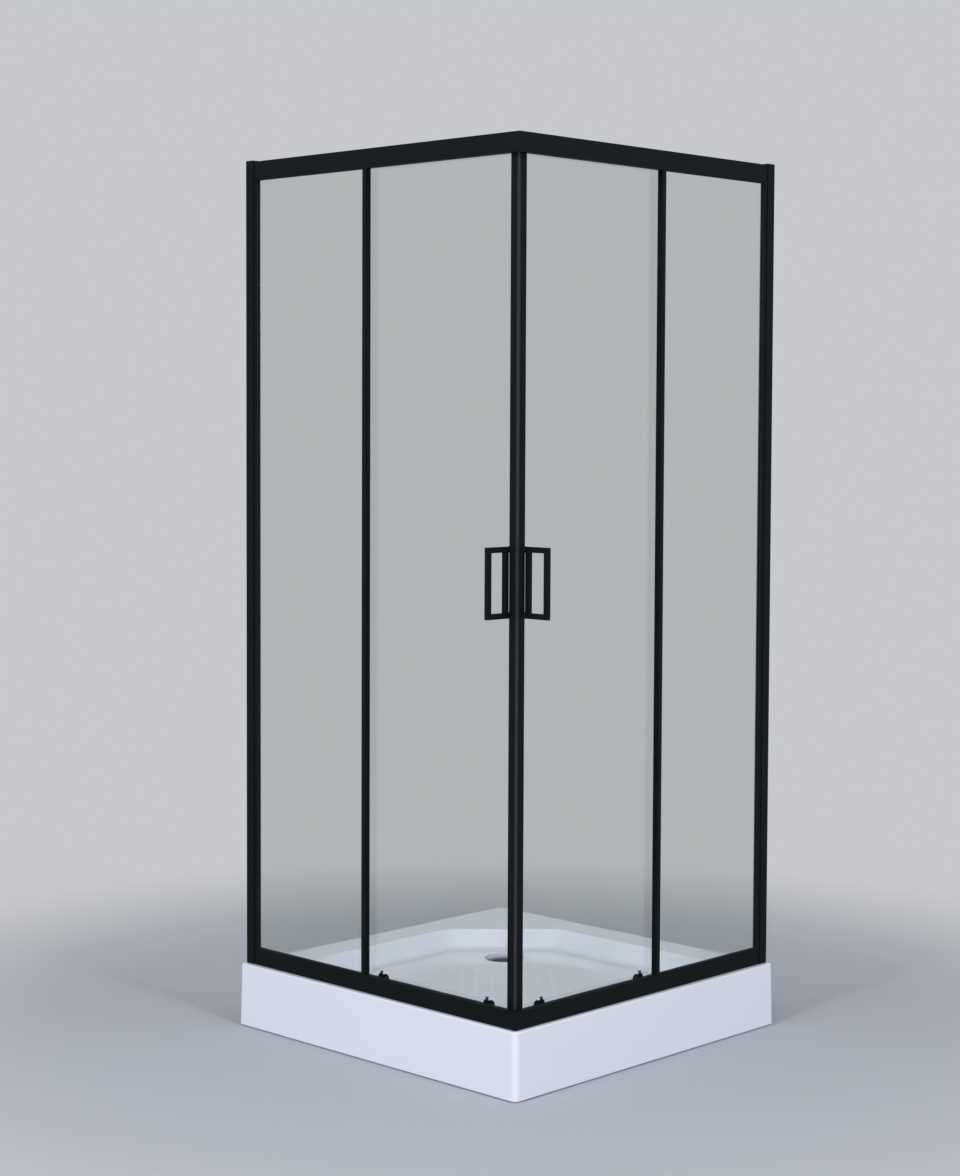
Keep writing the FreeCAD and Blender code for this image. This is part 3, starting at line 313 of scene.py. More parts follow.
def vary_colour(tree, shader, value, colour, darkest, lightest):
    """Lets the colour wander from a darker shade of itself to a lighter one."""
    dark, light = [(*[part * level for part in colour[:3]], 1) for level in (darkest, lightest)]
    tree.links.new(tint(tree, value, dark, light), shader.inputs["Base Color"])


def raise_surface(tree, shader, height, strength, depth):
    bump = tree.nodes.new("ShaderNodeBump")
    bump.inputs["Strength"].default_value = strength
    bump.inputs["Distance"].default_value = depth
    tree.links.new(height, bump.inputs["Height"])
    tree.links.new(bump.outputs["Normal"], shader.inputs["Normal"])


def surface_finish(name, colour, mottle=None, polish=None, texture=None, **sockets):
    """A material with its constants on the shader's own sockets. Noise can mottle its colour, vary its
    polish and give it a texture: features in a metre, detail, and then the darkest and lightest shade,
    the least and most roughness, or the texture's strength and depth."""
    material, tree, surface = bare_material(name)
    shader = tree.nodes.new("ShaderNodeBsdfPrincipled")
    shader.inputs["Base Color"].default_value = colour
    for socket, value in sockets.items():
        shader.inputs[socket.replace("_", " ")].default_value = value
    tree.links.new(shader.outputs[0], surface)
    if mottle:
        vary_colour(tree, shader, noise_at(tree, *mottle[:2]), colour, *mottle[2:])
    if polish:
        roughness = spread(tree, noise_at(tree, *polish[:2]), noise_reach, polish[2:])
        tree.links.new(roughness, shader.inputs["Roughness"])
    if texture:
        raise_surface(tree, shader, noise_at(tree, *texture[:2]), *texture[2:])
    return material


def select_only(*pieces):
    """Selects these pieces and nothing else; the first is the one worked on."""
    deselect_all()
    for piece in pieces:
        piece.select_set(True)
    bpy.context.view_layer.objects.active = pieces[0]


def joined(pieces):
    """Joins several pieces into the first of them."""
    select_only(*pieces)
    bpy.ops.object.join()
    return pieces[0]


def edit(piece):
    """Opens one piece in edit mode with nothing selected."""
    select_only(piece)
    bpy.ops.object.mode_set(mode="EDIT")
    bpy.ops.mesh.select_all(action="DESELECT")


def choose(piece, kind, test):
    """Selects the corners, edges or faces that pass a test, and nothing else."""
    bpy.ops.mesh.select_mode(type=kind)
    bpy.ops.mesh.select_all(action="DESELECT")
    shape = bmesh.from_edit_mesh(piece.data)
    parts = {"VERT": shape.verts, "EDGE": shape.edges, "FACE": shape.faces}[kind]
    for part in parts:
        if test(part):
            part.select_set(True)
    bmesh.update_edit_mesh(piece.data)


def finish_editing(outwards=False):
    """Closes edit mode, with the faces turned outwards first where a spin or mirror upset them."""
    if outwards:
        bpy.ops.mesh.select_all(action="SELECT")
        bpy.ops.mesh.remove_doubles(threshold=merge_distance)
        bpy.ops.mesh.normals_make_consistent(inside=False)
    bpy.ops.object.mode_set(mode="OBJECT")


def name_and_settle(name):
    """Names the newest primitive and puts its place and size into its mesh."""
    piece = bpy.context.object
    piece.name = name
    piece.data.name = name
    bpy.ops.object.transform_apply(location=True, rotation=True, scale=True)
    return piece


def block(name, low, high):
    low = Vector(low)
    high = Vector(high)
    deselect_all()
    bpy.ops.mesh.primitive_cube_add(size=1, location=(low + high) / 2, scale=high - low)
    return name_and_settle(name)


def upright_cylinder(name, place, radius, low, high, corners=cylinder_corners):
    deselect_all()
    bpy.ops.mesh.primitive_cylinder_add(
        vertices=corners, radius=radius, depth=high - low,
        location=(place[0], place[1], (low + high) / 2))
    return name_and_settle(name)


def apply_modifier(piece, kind, **settings):
    select_only(piece)
    modifier = piece.modifiers.new(kind.lower(), kind)
    for setting, value in settings.items():
        setattr(modifier, setting, value)
    bpy.ops.object.modifier_apply(modifier=modifier.name)


def carve(piece, tool, operation="DIFFERENCE"):
    """Cuts a tool out of a piece, or welds it on, and throws the tool away."""
    apply_modifier(piece, "BOOLEAN", operation=operation, object=tool, solver="EXACT")
    bpy.data.objects.remove(tool)


def smooth_flats(piece, angle=smooth_angle):
    """Smooth shading over the rounded edges, with the flats kept flat."""
    select_only(piece)
    bpy.ops.object.shade_smooth_by_angle(angle=angle)
    apply_modifier(piece, "WEIGHTED_NORMAL", keep_sharp=True)


def basin_outline():
    """The basin's mouth as a flat face: a square with its back corner cut off and all corners round."""
    low = -tray_half + wall_ledge
    high = tray_half - entry_ledge
    middle = (low + high) / 2
    deselect_all()
    bpy.ops.mesh.primitive_plane_add(size=high - low, location=(middle, -middle, deck))
    outline = name_and_settle("basin_outline")
    edit(outline)
    choose(outline, "VERT", lambda corner: corner.co.x < middle and corner.co.y > -middle)
    bpy.ops.mesh.bevel(offset=basin_chamfer, segments=1, affect="VERTICES")
    square_corners = [Vector((low, -high)), Vector((high, -high)), Vector((high, -low))]
    blunt_corners = [Vector((low, -low - basin_chamfer)), Vector((low + basin_chamfer, -low))]
    for corners, half_turn in ((square_corners, math.pi / 4), (blunt_corners, math.pi / 8)):
        choose(outline, "VERT", lambda corner: any(
            (corner.co.xy - at).length < tray_wall for at in corners))
        bpy.ops.mesh.bevel(
            offset=basin_corner_r * math.tan(half_turn), segments=basin_corner_steps, affect="VERTICES")
    bpy.ops.mesh.select_all(action="SELECT")
    bpy.ops.mesh.inset(thickness=basin_slope_run, depth=-basin_depth)
    finish_editing()
    return outline


def face_the_basin_up(sheet):
    """Turns all of an open sheet's faces one way, with the ledge and the basin's floor upwards."""
    bpy.ops.mesh.select_all(action="SELECT")
    bpy.ops.mesh.normals_make_consistent(inside=False)
    shape = bmesh.from_edit_mesh(sheet.data)
    if sum(face.normal.z * face.calc_area() for face in shape.faces) < 0:
        bpy.ops.mesh.flip_normals()


def tray_sheet():
    """The tray's outer surface: skirt, ledge, basin slope and basin floor."""
    sheet = block("tray_shell", (-tray_half, -tray_half, skirt_foot), (tray_half, tray_half, deck))
    middle = (skirt_foot + deck) / 2
    near = tray_wall / 4
    edit(sheet)
    choose(sheet, "VERT", lambda corner: corner.co.z > middle and corner.co.x > 0)
    bpy.ops.transform.translate(value=(-skirt_draft, 0, 0))
    choose(sheet, "VERT", lambda corner: corner.co.z > middle and corner.co.y < 0)
    bpy.ops.transform.translate(value=(0, skirt_draft, 0))
    choose(sheet, "EDGE", lambda edge: all(end.co.x > 0 and end.co.y < 0 for end in edge.verts))
    bpy.ops.mesh.bevel(offset=skirt_corner_r, segments=skirt_corner_steps, affect="EDGES")
    choose(sheet, "FACE", lambda face: abs(face.normal.z) > facing_limit)
    bpy.ops.mesh.delete(type="FACE")
    finish_editing()
    edit(joined([sheet, basin_outline()]))
    choose(sheet, "EDGE", lambda edge: edge.is_boundary and all(
        end.co.z > deck - near for end in edge.verts))
    bpy.ops.mesh.fill(use_beauty=True)
    face_the_basin_up(sheet)
    return sheet


def round_tray_edges(sheet):
    """Rounds the basin's rim, the foot of its slope and the skirt's top edge."""
    near = tray_wall / 4
    basin_floor = deck - basin_depth
    half_lean = math.atan2(basin_depth, basin_slope_run) / 2
    inside = tray_half - entry_ledge / 2

    def at_height(edge, height):
        level = all(abs(end.co.z - height) < near for end in edge.verts)
        return level and not edge.is_boundary and edge.calc_face_angle() > half_lean

    def in_basin(edge):
        return all(max(abs(end.co.x), abs(end.co.y)) < inside for end in edge.verts)

    choose(sheet, "EDGE", lambda edge: at_height(edge, deck) and in_basin(edge))
    bpy.ops.mesh.bevel(
        offset=basin_rim_r * math.tan(half_lean), segments=basin_rim_steps, affect="EDGES")
    choose(sheet, "EDGE", lambda edge: at_height(edge, basin_floor) and in_basin(edge))
    bpy.ops.mesh.bevel(
        offset=basin_floor_r * math.tan(half_lean), segments=basin_floor_steps, affect="EDGES")
    choose(sheet, "EDGE", lambda edge: at_height(edge, deck) and not in_basin(edge))
    bpy.ops.mesh.bevel(offset=skirt_edge_r, segments=skirt_edge_steps, affect="EDGES")


def open_wall_sides(sheet):
    """Cuts the two wall sides back to a short flange, with a return at each end."""
    flange_foot = deck - flange_height
    end = tray_half - skirt_return
    for side, run in (((-1, 0, 0), (0, -1, 0)), ((0, 1, 0), (1, 0, 0))):
        side = Vector(side)
        run = Vector(run)
        choose(sheet, "FACE", lambda face: face.normal.dot(side) > facing_limit)
        bpy.ops.mesh.bisect(plane_co=(0, 0, flange_foot), plane_no=(0, 0, 1))
        choose(sheet, "FACE", lambda face: face.normal.dot(side) > facing_limit)
        bpy.ops.mesh.bisect(plane_co=run * end, plane_no=run)

        def open_part(face):
            middle = face.calc_center_median()
            low_down = middle.z < flange_foot and middle.dot(run) < end
            return low_down and face.normal.dot(side) > facing_limit

        choose(sheet, "FACE", open_part)
        bpy.ops.mesh.delete(type="FACE")


acrylic_finish = surface_finish(
    "white_acrylic", acrylic_white, acrylic_mottle, acrylic_polish, acrylic_texture,
    Roughness=0.12, IOR=1.49, Coat_Weight=0.6, Coat_Roughness=0.03)
fibre_finish = surface_finish(
    "glass_fibre_backing", fibre_backing, fibre_mottle, texture=fibre_texture, Roughness=0.5)
tray = tray_sheet()
round_tray_edges(tray)
open_wall_sides(tray)
finish_editing()
tray.data.materials.append(acrylic_finish)
tray.data.materials.append(fibre_finish)
apply_modifier(tray, "SOLIDIFY", thickness=tray_wall, offset=-1, use_even_offset=True, material_offset=1)
basin_floor = deck - basin_depth
seat_floor = basin_floor - drain_seat_depth
seat_boss = upright_cylinder(
    "seat_boss", drain_place, drain_seat_r + tray_wall, seat_floor - tray_wall, basin_floor - tray_wall / 4)
carve(tray, seat_boss, "UNION")
carve(tray, upright_cylinder("seat_cut", drain_place, drain_seat_r, seat_floor, deck))
carve(tray, upright_cylinder("hole_cut", drain_place, drain_hole_r, skirt_foot, deck))
edit(tray)


def on_seat_rim(edge):
    ends = [(end.co.xy - drain_place.xy).length for end in edge.verts]
    level = all(abs(end.co.z - basin_floor) < merge_distance for end in edge.verts)
    return level and all(abs(end - drain_seat_r) < rim_limit for end in ends)


choose(tray, "EDGE", on_seat_rim)
bpy.ops.mesh.bevel(offset=drain_seat_edge, segments=drain_seat_edge_steps, affect="EDGES")
finish_editing()
smooth_flats(tray)
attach(tray, "root")
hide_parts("tray")


def grip_dot_places():
    """A staggered pattern of anti-slip dots in a round field, clear of the drain."""
    offset = (wall_ledge - entry_ledge) / 2
    field_middle = Vector((offset, -offset))
    reach = math.ceil(grip_area_r / grip_dot_pitch)
    rows = range(-reach, reach + 1)
    for i in rows:
        for j in rows:
            for shift in (0, grip_dot_pitch / 2):
                place = Vector((i * grip_dot_pitch + shift, j * grip_dot_pitch + shift))
                from_drain = (place + field_middle - drain_place.xy).length
                if place.length < grip_area_r and from_drain > drain_seat_r + grip_drain_gap:
                    yield place + field_middle


def copied(piece, move):
    """A copy of a piece, with a mesh of its own, moved by a matrix."""
    copy = bpy.data.objects.new(piece.name, piece.data.copy())
    bpy.context.scene.collection.objects.link(copy)
    copy.data.transform(move)
    return copy


def repeated(first, moves):
    """A piece modelled once at the origin, copied to every place and joined."""
    copies = [copied(first, move) for move in moves]
    name = first.name
    bpy.data.objects.remove(first)
    copies[0].name = name
    return joined(copies)


def grip_dots():
    """Low round bumps: a short stub sunk in the floor, its top drawn in twice."""
    dot = upright_cylinder("tray_grip_dots", (0, 0), grip_dot_r, -grip_dot_sunk, 0, grip_dot_corners)
    edit(dot)
    choose(dot, "FACE", lambda face: face.normal.z > facing_limit)
    shoulder_rise = grip_dot_height * dot_shoulder_rise_share
    bpy.ops.mesh.inset(thickness=grip_dot_r * dot_shoulder_share, depth=shoulder_rise)
    bpy.ops.mesh.inset(thickness=grip_dot_r * dot_crown_share, depth=grip_dot_height - shoulder_rise)
    finish_editing()
    select_only(dot)
    bpy.ops.object.shade_smooth()
    return repeated(dot, [Matrix.Translation((at.x, at.y, basin_floor)) for at in grip_dot_places()])


dots = grip_dots()
dots.data.materials.append(acrylic_finish)
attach(dots, "root")

# Board, sockets, lock nuts and levelling feet
# A sealed chipboard is laminated under the basin and carries five moulded sockets. A zinc
# plated rod with a moulded pad screws into each one and is held by a nut.
board_edge = 0.0008
eased_edge = 0.0003
eased_edge_steps = 2
flat_angle = math.radians(0.5)
sharp_angle = math.radians(40)
hexagon = 6
socket_flange = 0.003
socket_core_r = 0.0135
socket_rib_width = 0.002
socket_ribs = 8
nut_corner = 0.0012
rod_r = 0.006
foot_pad_edge = 0.0012
foot_pad_height = 0.008
foot_collar_r = 0.009
foot_collar_top = 0.014
thread_share = 0.3
rod_pitch = 0.002
turning_steps = 40
chip_brown = (0.33, 0.235, 0.14, 1)
chip_darkest = 0.55
chip_lightest = 1.45
chips_per_metre = 260
chip_relief = 0.0004
zinc = (0.55, 0.56, 0.57, 1)
zinc_mottle = (120, 4, 0.86, 1.08)
zinc_polish = (400, 2, 0.26, 0.42)
plastic_black = (0.006, 0.0065, 0.0075, 1)
plastic_polish = (2600, 3, 0.42, 0.55)
plastic_texture = (2600, 3, 0.3, 0.00006)


def sealed_chipboard():
    """Pressed chips, each with its own brown."""
    material = surface_finish("sealed_chipboard", chip_brown, Roughness=0.45)
    tree = material.node_tree
    shader = tree.nodes["Principled BSDF"]
    place = tree.nodes.new("ShaderNodeTexCoord")
    chips = tree.nodes.new("ShaderNodeTexVoronoi")
    chips.inputs["Scale"].default_value = chips_per_metre
    tree.links.new(place.outputs["Object"], chips.inputs["Vector"])
    brightness = tree.nodes.new("ShaderNodeSeparateColor")
    tree.links.new(chips.outputs["Color"], brightness.inputs["Color"])
    vary_colour(tree, shader, brightness.outputs["Red"], chip_brown, chip_darkest, chip_lightest)
    raise_surface(tree, shader, chips.outputs["Distance"], strength=0.5, depth=chip_relief)
    return material


def hand_over(piece, node, materials):
    """Gives a piece its finish, and lets it stand for its CAD node."""
    piece.data.materials.clear()
    for material in materials:
        piece.data.materials.append(material)
    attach(piece, frame["nodes"][node]["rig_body"])
    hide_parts(node)
    return piece


def eased_copy(node, ending, edge_width=eased_edge, keep=None):
    """The CAD node's own shape, or the faces of it that pass a test, with its sharp edges eased."""
    piece = bpy.data.objects.new(f"{node}_{ending}", frame["nodes"][node].data.copy())
    bpy.context.scene.collection.objects.link(piece)
    edit(piece)
    if keep:
        choose(piece, "FACE", lambda face: not keep(face))
        bpy.ops.mesh.delete(type="FACE")
    bpy.ops.mesh.customdata_custom_splitnormals_clear()
    bpy.ops.mesh.select_all(action="SELECT")
    bpy.ops.mesh.remove_doubles(threshold=merge_distance)
    bpy.ops.mesh.dissolve_limited(angle_limit=flat_angle)
    finish_editing()
    apply_modifier(
        piece, "BEVEL", width=edge_width, segments=eased_edge_steps, limit_method="ANGLE",
        angle_limit=sharp_angle, use_clamp_overlap=True)
    smooth_flats(piece)
    return piece


def solid_boxes(node):
    """The low and high corners of each separate solid in a CAD node."""
    shape = bmesh.new()
    shape.from_mesh(frame["nodes"][node].data)
    bmesh.ops.remove_doubles(shape, verts=shape.verts, dist=merge_distance)
    waiting = set(shape.verts)
    boxes = []
    while waiting:
        solid = {waiting.pop()}
        fresh = set(solid)
        while fresh:
            fresh = {edge.other_vert(corner) for corner in fresh for edge in corner.link_edges} - solid
            solid |= fresh
        waiting -= solid
        low = Vector([min(corner.co[i] for corner in solid) for i in range(3)])
        high = Vector([max(corner.co[i] for corner in solid) for i in range(3)])
        boxes.append((low, high))
    shape.free()
    return sorted(boxes, key=lambda box: tuple(box[0]))


def turned(name, outline, centre=(0, 0, 0), axis=(0, 0, 1), steps=turning_steps):
    """A closed turned shape: an outline of (radius, height) points, drawn and then spun."""
    centre = Vector(centre)
    axis = Vector(axis)
    outwards = axis.orthogonal().normalized()
    points = [centre + outwards * radius + axis * height for radius, height in outline]
    deselect_all()
    bpy.ops.mesh.primitive_plane_add(size=merge_distance, location=points[0])
    piece = name_and_settle(name)
    edit(piece)
    bpy.ops.mesh.select_mode(type="VERT")
    bpy.ops.mesh.select_all(action="SELECT")
    bpy.ops.mesh.merge(type="CENTER")
    for start, end in pairwise(points):
        bpy.ops.mesh.extrude_region_move(TRANSFORM_OT_translate={"value": end - start})
    bpy.ops.mesh.select_all(action="SELECT")
    bpy.ops.mesh.spin(steps=steps, angle=2 * math.pi, center=centre, axis=axis)
    finish_editing(outwards=True)
    return piece


def screw_thread(radius, low, high, pitch):
    """The outline of a thread, from one end of a rod to the other."""
    root_r = radius - pitch * thread_share
    outline = []
    for turn in range(int((high - low) / pitch)):
        height = low + turn * pitch
        outline += [(root_r, height), (radius, height + pitch / 2)]
    return outline + [(root_r, high)]


def foot_outline(low, high):
    """A pad with a rounded edge, a collar, and a threaded rod."""
    pad_r = (high.x - low.x) / 2
    side_top = foot_pad_height - 2 * foot_pad_edge
    outline = [(0, 0), (pad_r - foot_pad_edge, 0), (pad_r, foot_pad_edge), (pad_r, side_top)]
    outline += [(pad_r - foot_pad_edge, foot_pad_height - foot_pad_edge / 2)]
    outline += [(pad_r - 2 * foot_pad_edge, foot_pad_height), (foot_collar_r, foot_pad_height)]
    outline += [(foot_collar_r, foot_collar_top)]
    return outline + screw_thread(rod_r, foot_collar_top, high.z, rod_pitch) + [(0, high.z)]


def foot_socket():
    """A moulded boss hanging from a flange, with ribs out to the flange's edge."""
    low, high = solid_boxes("foot_sockets")[0]
    reach = (high.x - low.x) / 2
    height = high.z - low.z
    core_outline = [(0, -height), (socket_core_r, -height), (socket_core_r, -socket_flange)]
    core_outline += [(reach, -socket_flange), (reach, 0), (0, 0)]
    socket = turned("foot_socket_mouldings", core_outline)
    for number in range(socket_ribs):
        rib = block(
            "rib", (socket_core_r / 2, -socket_rib_width / 2, socket_flange - height),
            (reach - socket_rib_width, socket_rib_width / 2, -socket_flange / 2))
        edit(rib)
        choose(rib, "VERT", lambda corner: corner.co.x > socket_core_r and corner.co.z < -socket_flange)
        bpy.ops.transform.translate(value=(socket_core_r - reach + 2 * socket_rib_width, 0, 0))
        finish_editing()
        rib.data.transform(Matrix.Rotation(2 * math.pi * number / socket_ribs, 4, "Z"))
        carve(socket, rib, "UNION")
    carve(socket, upright_cylinder("bore", (0, 0), rod_r, -height * 2, height))
    smooth_flats(socket)
    return socket


def lock_nut():
    """A hexagon with its corners turned off at both ends, and a bore for the rod."""
    low, high = solid_boxes("foot_lock_nuts")[0]
    reach = (high.x - low.x) / 2
    height = high.z - low.z
    nut = upright_cylinder("lock_nuts_zinc", (0, 0), reach, -height, 0, hexagon)
    nut.data.transform(Matrix.Rotation(math.pi / hexagon, 4, "Z"))
    limit_outline = [(0, -height), (reach - nut_corner * 2, -height), (reach, nut_corner - height)]
    limit_outline += [(reach, -nut_corner), (reach - nut_corner * 2, 0), (0, 0)]
    carve(nut, turned("corner_limit", limit_outline), "INTERSECT")
    carve(nut, upright_cylinder("bore", (0, 0), rod_r, -height * 2, height))
    smooth_flats(nut)
    return nut


def hung_places(node):
    """The moves that take a piece from the origin to the top centre of each solid of a node."""
    return [
        Matrix.Translation(((low.x + high.x) / 2, (low.y + high.y) / 2, high.z))
        for low, high in solid_boxes(node)]


def mark_faces(piece, test):
    """Gives the second finish to the faces that pass a test."""
    for face in piece.data.polygons:
        face.material_index = 1 if test(face) else 0


zinc_finish = surface_finish(
    "zinc_plate", zinc, zinc_mottle, zinc_polish, Roughness=0.34, Metallic=1.0)
plastic_finish = surface_finish(
    "black_plastic", plastic_black, polish=plastic_polish, texture=plastic_texture,
    Roughness=0.52, Specular_IOR_Level=0.2)
hand_over(eased_copy("base_board", "panel", board_edge), "base_board", [sealed_chipboard()])
hand_over(repeated(foot_socket(), hung_places("foot_sockets")), "foot_sockets", [plastic_finish])
hand_over(repeated(lock_nut(), hung_places("foot_lock_nuts")), "foot_lock_nuts", [zinc_finish])
for place in ("centre", "entry", "left", "right", "back"):
    node = "levelling_foot_" + place
    low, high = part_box(node)
    middle = (low + high) / 2
    foot = turned(node + "_turned", foot_outline(low, high), (middle.x, middle.y, low.z), (0, 0, 1))
    hand_over(foot, node, [zinc_finish, plastic_finish])
    mark_faces(foot, lambda face: face.center.z < foot_collar_top)
    smooth_flats(foot)

# Drain
# A chrome flange clamps the seat through a rubber ring onto a moulded trap, whose pipe
# leaves towards the wall. A domed chrome cap drops into the flange and lifts out.
chrome_tone = (0.42, 0.43, 0.45, 1)
chrome_polish = (300, 5, 0.05, 0.12)
chrome_texture = (25, 2, 0.1, 0.0003)
trap_grey = (0.5, 0.51, 0.52, 1)
trap_polish = (500, 3, 0.36, 0.5)
trap_texture = (900, 2, 0.2, 0.00006)
rubber_black = (0.011, 0.011, 0.012, 1)
rubber_polish = (700, 3, 0.62, 0.8)
rubber_texture = (1800, 2, 0.3, 0.00005)
cap_lip = 0.0006
cap_wall = 0.0016
cap_sleeve_r = 0.0228
cap_sleeve_length = 0.012
cap_crown_steps = 8
flange_lip = 0.0004
gasket_edge = 0.0005
trap_edge = 0.0008
trap_nut_r = 0.024
trap_nut_reach = 0.009
trap_pipe_drop = 0.030
trap_nut_grips = 16
trap_cup_grips = 30
trap_cup_grip_top = 0.03
trap_grip_width = 0.0018
trap_grip_rise = 0.0009
trap_bead = 0.0015
trap_bead_height = 0.064


def cap_outline(low, high):
    """A thin domed cap with a rolled rim, and the sleeve that centres it in the flange."""
    rim_r = (high.x - low.x) / 2
    top = high.z - low.z
    shoulder = cap_sleeve_length + cap_wall

    def crown(radius, drop):
        return (radius, top - drop - (top - shoulder) * (radius / rim_r) ** 2)

    outline = [(rim_r - cap_wall, cap_sleeve_length), (rim_r - cap_lip, cap_sleeve_length)]
    outline += [(rim_r, cap_sleeve_length + cap_lip), (rim_r, shoulder - cap_lip / 2)]
    for step in range(cap_crown_steps + 1):
        outline += [crown((rim_r - cap_lip) * (1 - step / cap_crown_steps), 0)]
    outline += [crown(0, cap_wall), crown(cap_sleeve_r - cap_wall, cap_wall)]
    outline += [(cap_sleeve_r - cap_wall, 0), (cap_sleeve_r, 0), crown(cap_sleeve_r, cap_wall)]
    return outline + [(rim_r - cap_wall, cap_sleeve_length)]


def grip_ribs(name, count, barrel_r, low, high, place):
    """Grip ribs round an upright barrel, moved to where the barrel is."""
    rib = block(
        name, (barrel_r - trap_grip_rise, -trap_grip_width / 2, low),
        (barrel_r + trap_grip_rise, trap_grip_width / 2, high))
    return repeated(rib, [
        place @ Matrix.Rotation(2 * math.pi * number / count, 4, "Z") for number in range(count)])


def trap_moulding():
    """The trap's cup with a bead and grip ribs, and more ribs on the nut of its outlet pipe."""
    low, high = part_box("drain_trap")
    cup_r = (high.x - low.x) / 2
    foot = Vector((drain_place.x, drain_place.y, low.z))
    trap = eased_copy("drain_trap", "moulding", trap_edge)
    bead = turned("bead", [
        (cup_r - trap_bead, -trap_bead), (cup_r, -trap_bead), (cup_r + trap_bead, 0),
        (cup_r, trap_bead), (cup_r - trap_bead, trap_bead), (cup_r - trap_bead, -trap_bead)],
        foot + Vector((0, 0, trap_bead_height)))
    on_cup = Matrix.Translation(foot)
    on_pipe = Matrix.Translation((foot.x, foot.y + cup_r, foot.z + trap_pipe_drop))
    on_pipe @= Matrix.Rotation(-math.pi / 2, 4, "X")
    cup_grips = grip_ribs("grips", trap_cup_grips, cup_r, 2 * trap_bead, trap_cup_grip_top, on_cup)
    nut_grips = grip_ribs("grips", trap_nut_grips, trap_nut_r, 2 * trap_edge, trap_nut_reach, on_pipe)
    for addition in (bead, cup_grips, nut_grips):
        carve(trap, addition, "UNION")
    smooth_flats(trap)
    return trap


chrome_finish = surface_finish(
    "chrome", chrome_tone, polish=chrome_polish, texture=chrome_texture, Roughness=0.07, Metallic=1.0)
grey_finish = surface_finish(
    "grey_plastic", trap_grey, polish=trap_polish, texture=trap_texture, Roughness=0.42)
rubber_finish = surface_finish(
    "black_rubber", rubber_black, polish=rubber_polish, texture=rubber_texture,
    Roughness=0.7, Specular_IOR_Level=0.3)
low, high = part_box("drain_cover")
cap = turned("drain_cap", cap_outline(low, high), (drain_place.x, drain_place.y, low.z), (0, 0, 1))
smooth_flats(cap)
hand_over(cap, "drain_cover", [chrome_finish])
hand_over(eased_copy("drain_flange", "ring", flange_lip), "drain_flange", [chrome_finish])
hand_over(eased_copy("drain_gasket", "ring", gasket_edge), "drain_gasket", [rubber_finish])
hand_over(trap_moulding(), "drain_trap", [grey_finish])

# Wall channels, jambs and caps
# Aluminium extrusions with a satin black powder coat. The channel is screwed to the wall,
# the jamb slides into it to take up a wall that is out of true, and a moulded cap closes it.
coat_black = (0.0034, 0.0054, 0.0064, 1)
coat_mottle = (9, 3, 0.85, 1.2)
coat_polish = (600, 3, 0.53, 0.58)
coat_texture = (1500, 2, 0.35, 0.00005)

coat_finish = surface_finish(
    "powder_coat", coat_black, coat_mottle, coat_polish, coat_texture,
    Roughness=0.55, Specular_IOR_Level=0.09)
for side in ("left", "right"):
    for node in ("wall_channel_" + side, "jamb_" + side):
        hand_over(eased_copy(node, "profile"), node, [coat_finish])
hand_over(eased_copy("channel_caps", "mouldings"), "channel_caps", [plastic_finish])

# Head rails, bottom rails, infill strips and corner brackets
# Hooked aluminium sections, mitred at the entry corner and screwed to a cast L that is
# hidden in their front grooves. Snap-in strips close the grooves beside the fixed pane.
infill_edge = 0.0002
mitre_limit = 0.0001
casting_edge = 0.0008

for side in ("left", "right"):
    for node in ("head_rail_" + side, "bottom_rail_" + side):
        hand_over(eased_copy(node, "profile"), node, [coat_finish])


def left_of_mitre(face):
    """Whether a face is a left strip's: their mitred ends touch the right ones on the diagonal."""
    middle = face.calc_center_median()
    from_diagonal = middle.x + middle.y
    if abs(from_diagonal) < mitre_limit:
        return face.normal.x > 0
    return from_diagonal < 0


def right_of_mitre(face):
    return not left_of_mitre(face)


infill_strips = joined([
    eased_copy("groove_infill_strips", "strips", infill_edge, keep)
    for keep in (left_of_mitre, right_of_mitre)])
hand_over(infill_strips, "groove_infill_strips", [coat_finish])
for node in ("head_corner_bracket", "bottom_corner_bracket"):
    hand_over(eased_copy(node, "casting", casting_edge), node, [grey_finish])

# Fixed panes, their stiles and gaskets
# Clear toughened glass, 5 mm thick with ground edges, held in a black rubber frame between
# the jamb, the rails and a slim upright.
# The panes' tint is partly the glass's own light green and partly painted shade: it is darker than clear
# glass passes, for the shaded cabin seen through them. Lamp light passes at the lighter pane_shadow_tone.
glass_tint_and_painted_shade = (0.745, 0.782, 0.768, 1)
glass_edge_tone = (0.30, 0.47, 0.42, 1)
pane_shadow_tone = (0.965, 0.97, 0.97, 1)
glass_edge_polish = (40, 2, 0.34, 0.46)
glass_arris = 0.0006


def pass_lamps(material, tone):
    """Lets lamp light through a clear piece, so that it throws hardly any shadow."""
    tree = material.node_tree
    path = tree.nodes.new("ShaderNodeLightPath")
    through = tree.nodes.new("ShaderNodeBsdfTransparent")
    through.inputs["Color"].default_value = tone
    shader = tree.nodes["Principled BSDF"].outputs[0]
    either = mix_shaders(tree, path.outputs["Is Shadow Ray"], shader, through.outputs[0])
    tree.links.new(either, tree.nodes["Material Output"].inputs["Surface"])


def mark_pane_edges(pane):
    """Gives the edges of a pane, all that isn't its two large faces, the ground finish."""
    across = max(pane.data.polygons, key=lambda face: face.area).normal.copy()
    mark_faces(pane, lambda face: abs(face.normal.dot(across)) < facing_limit)


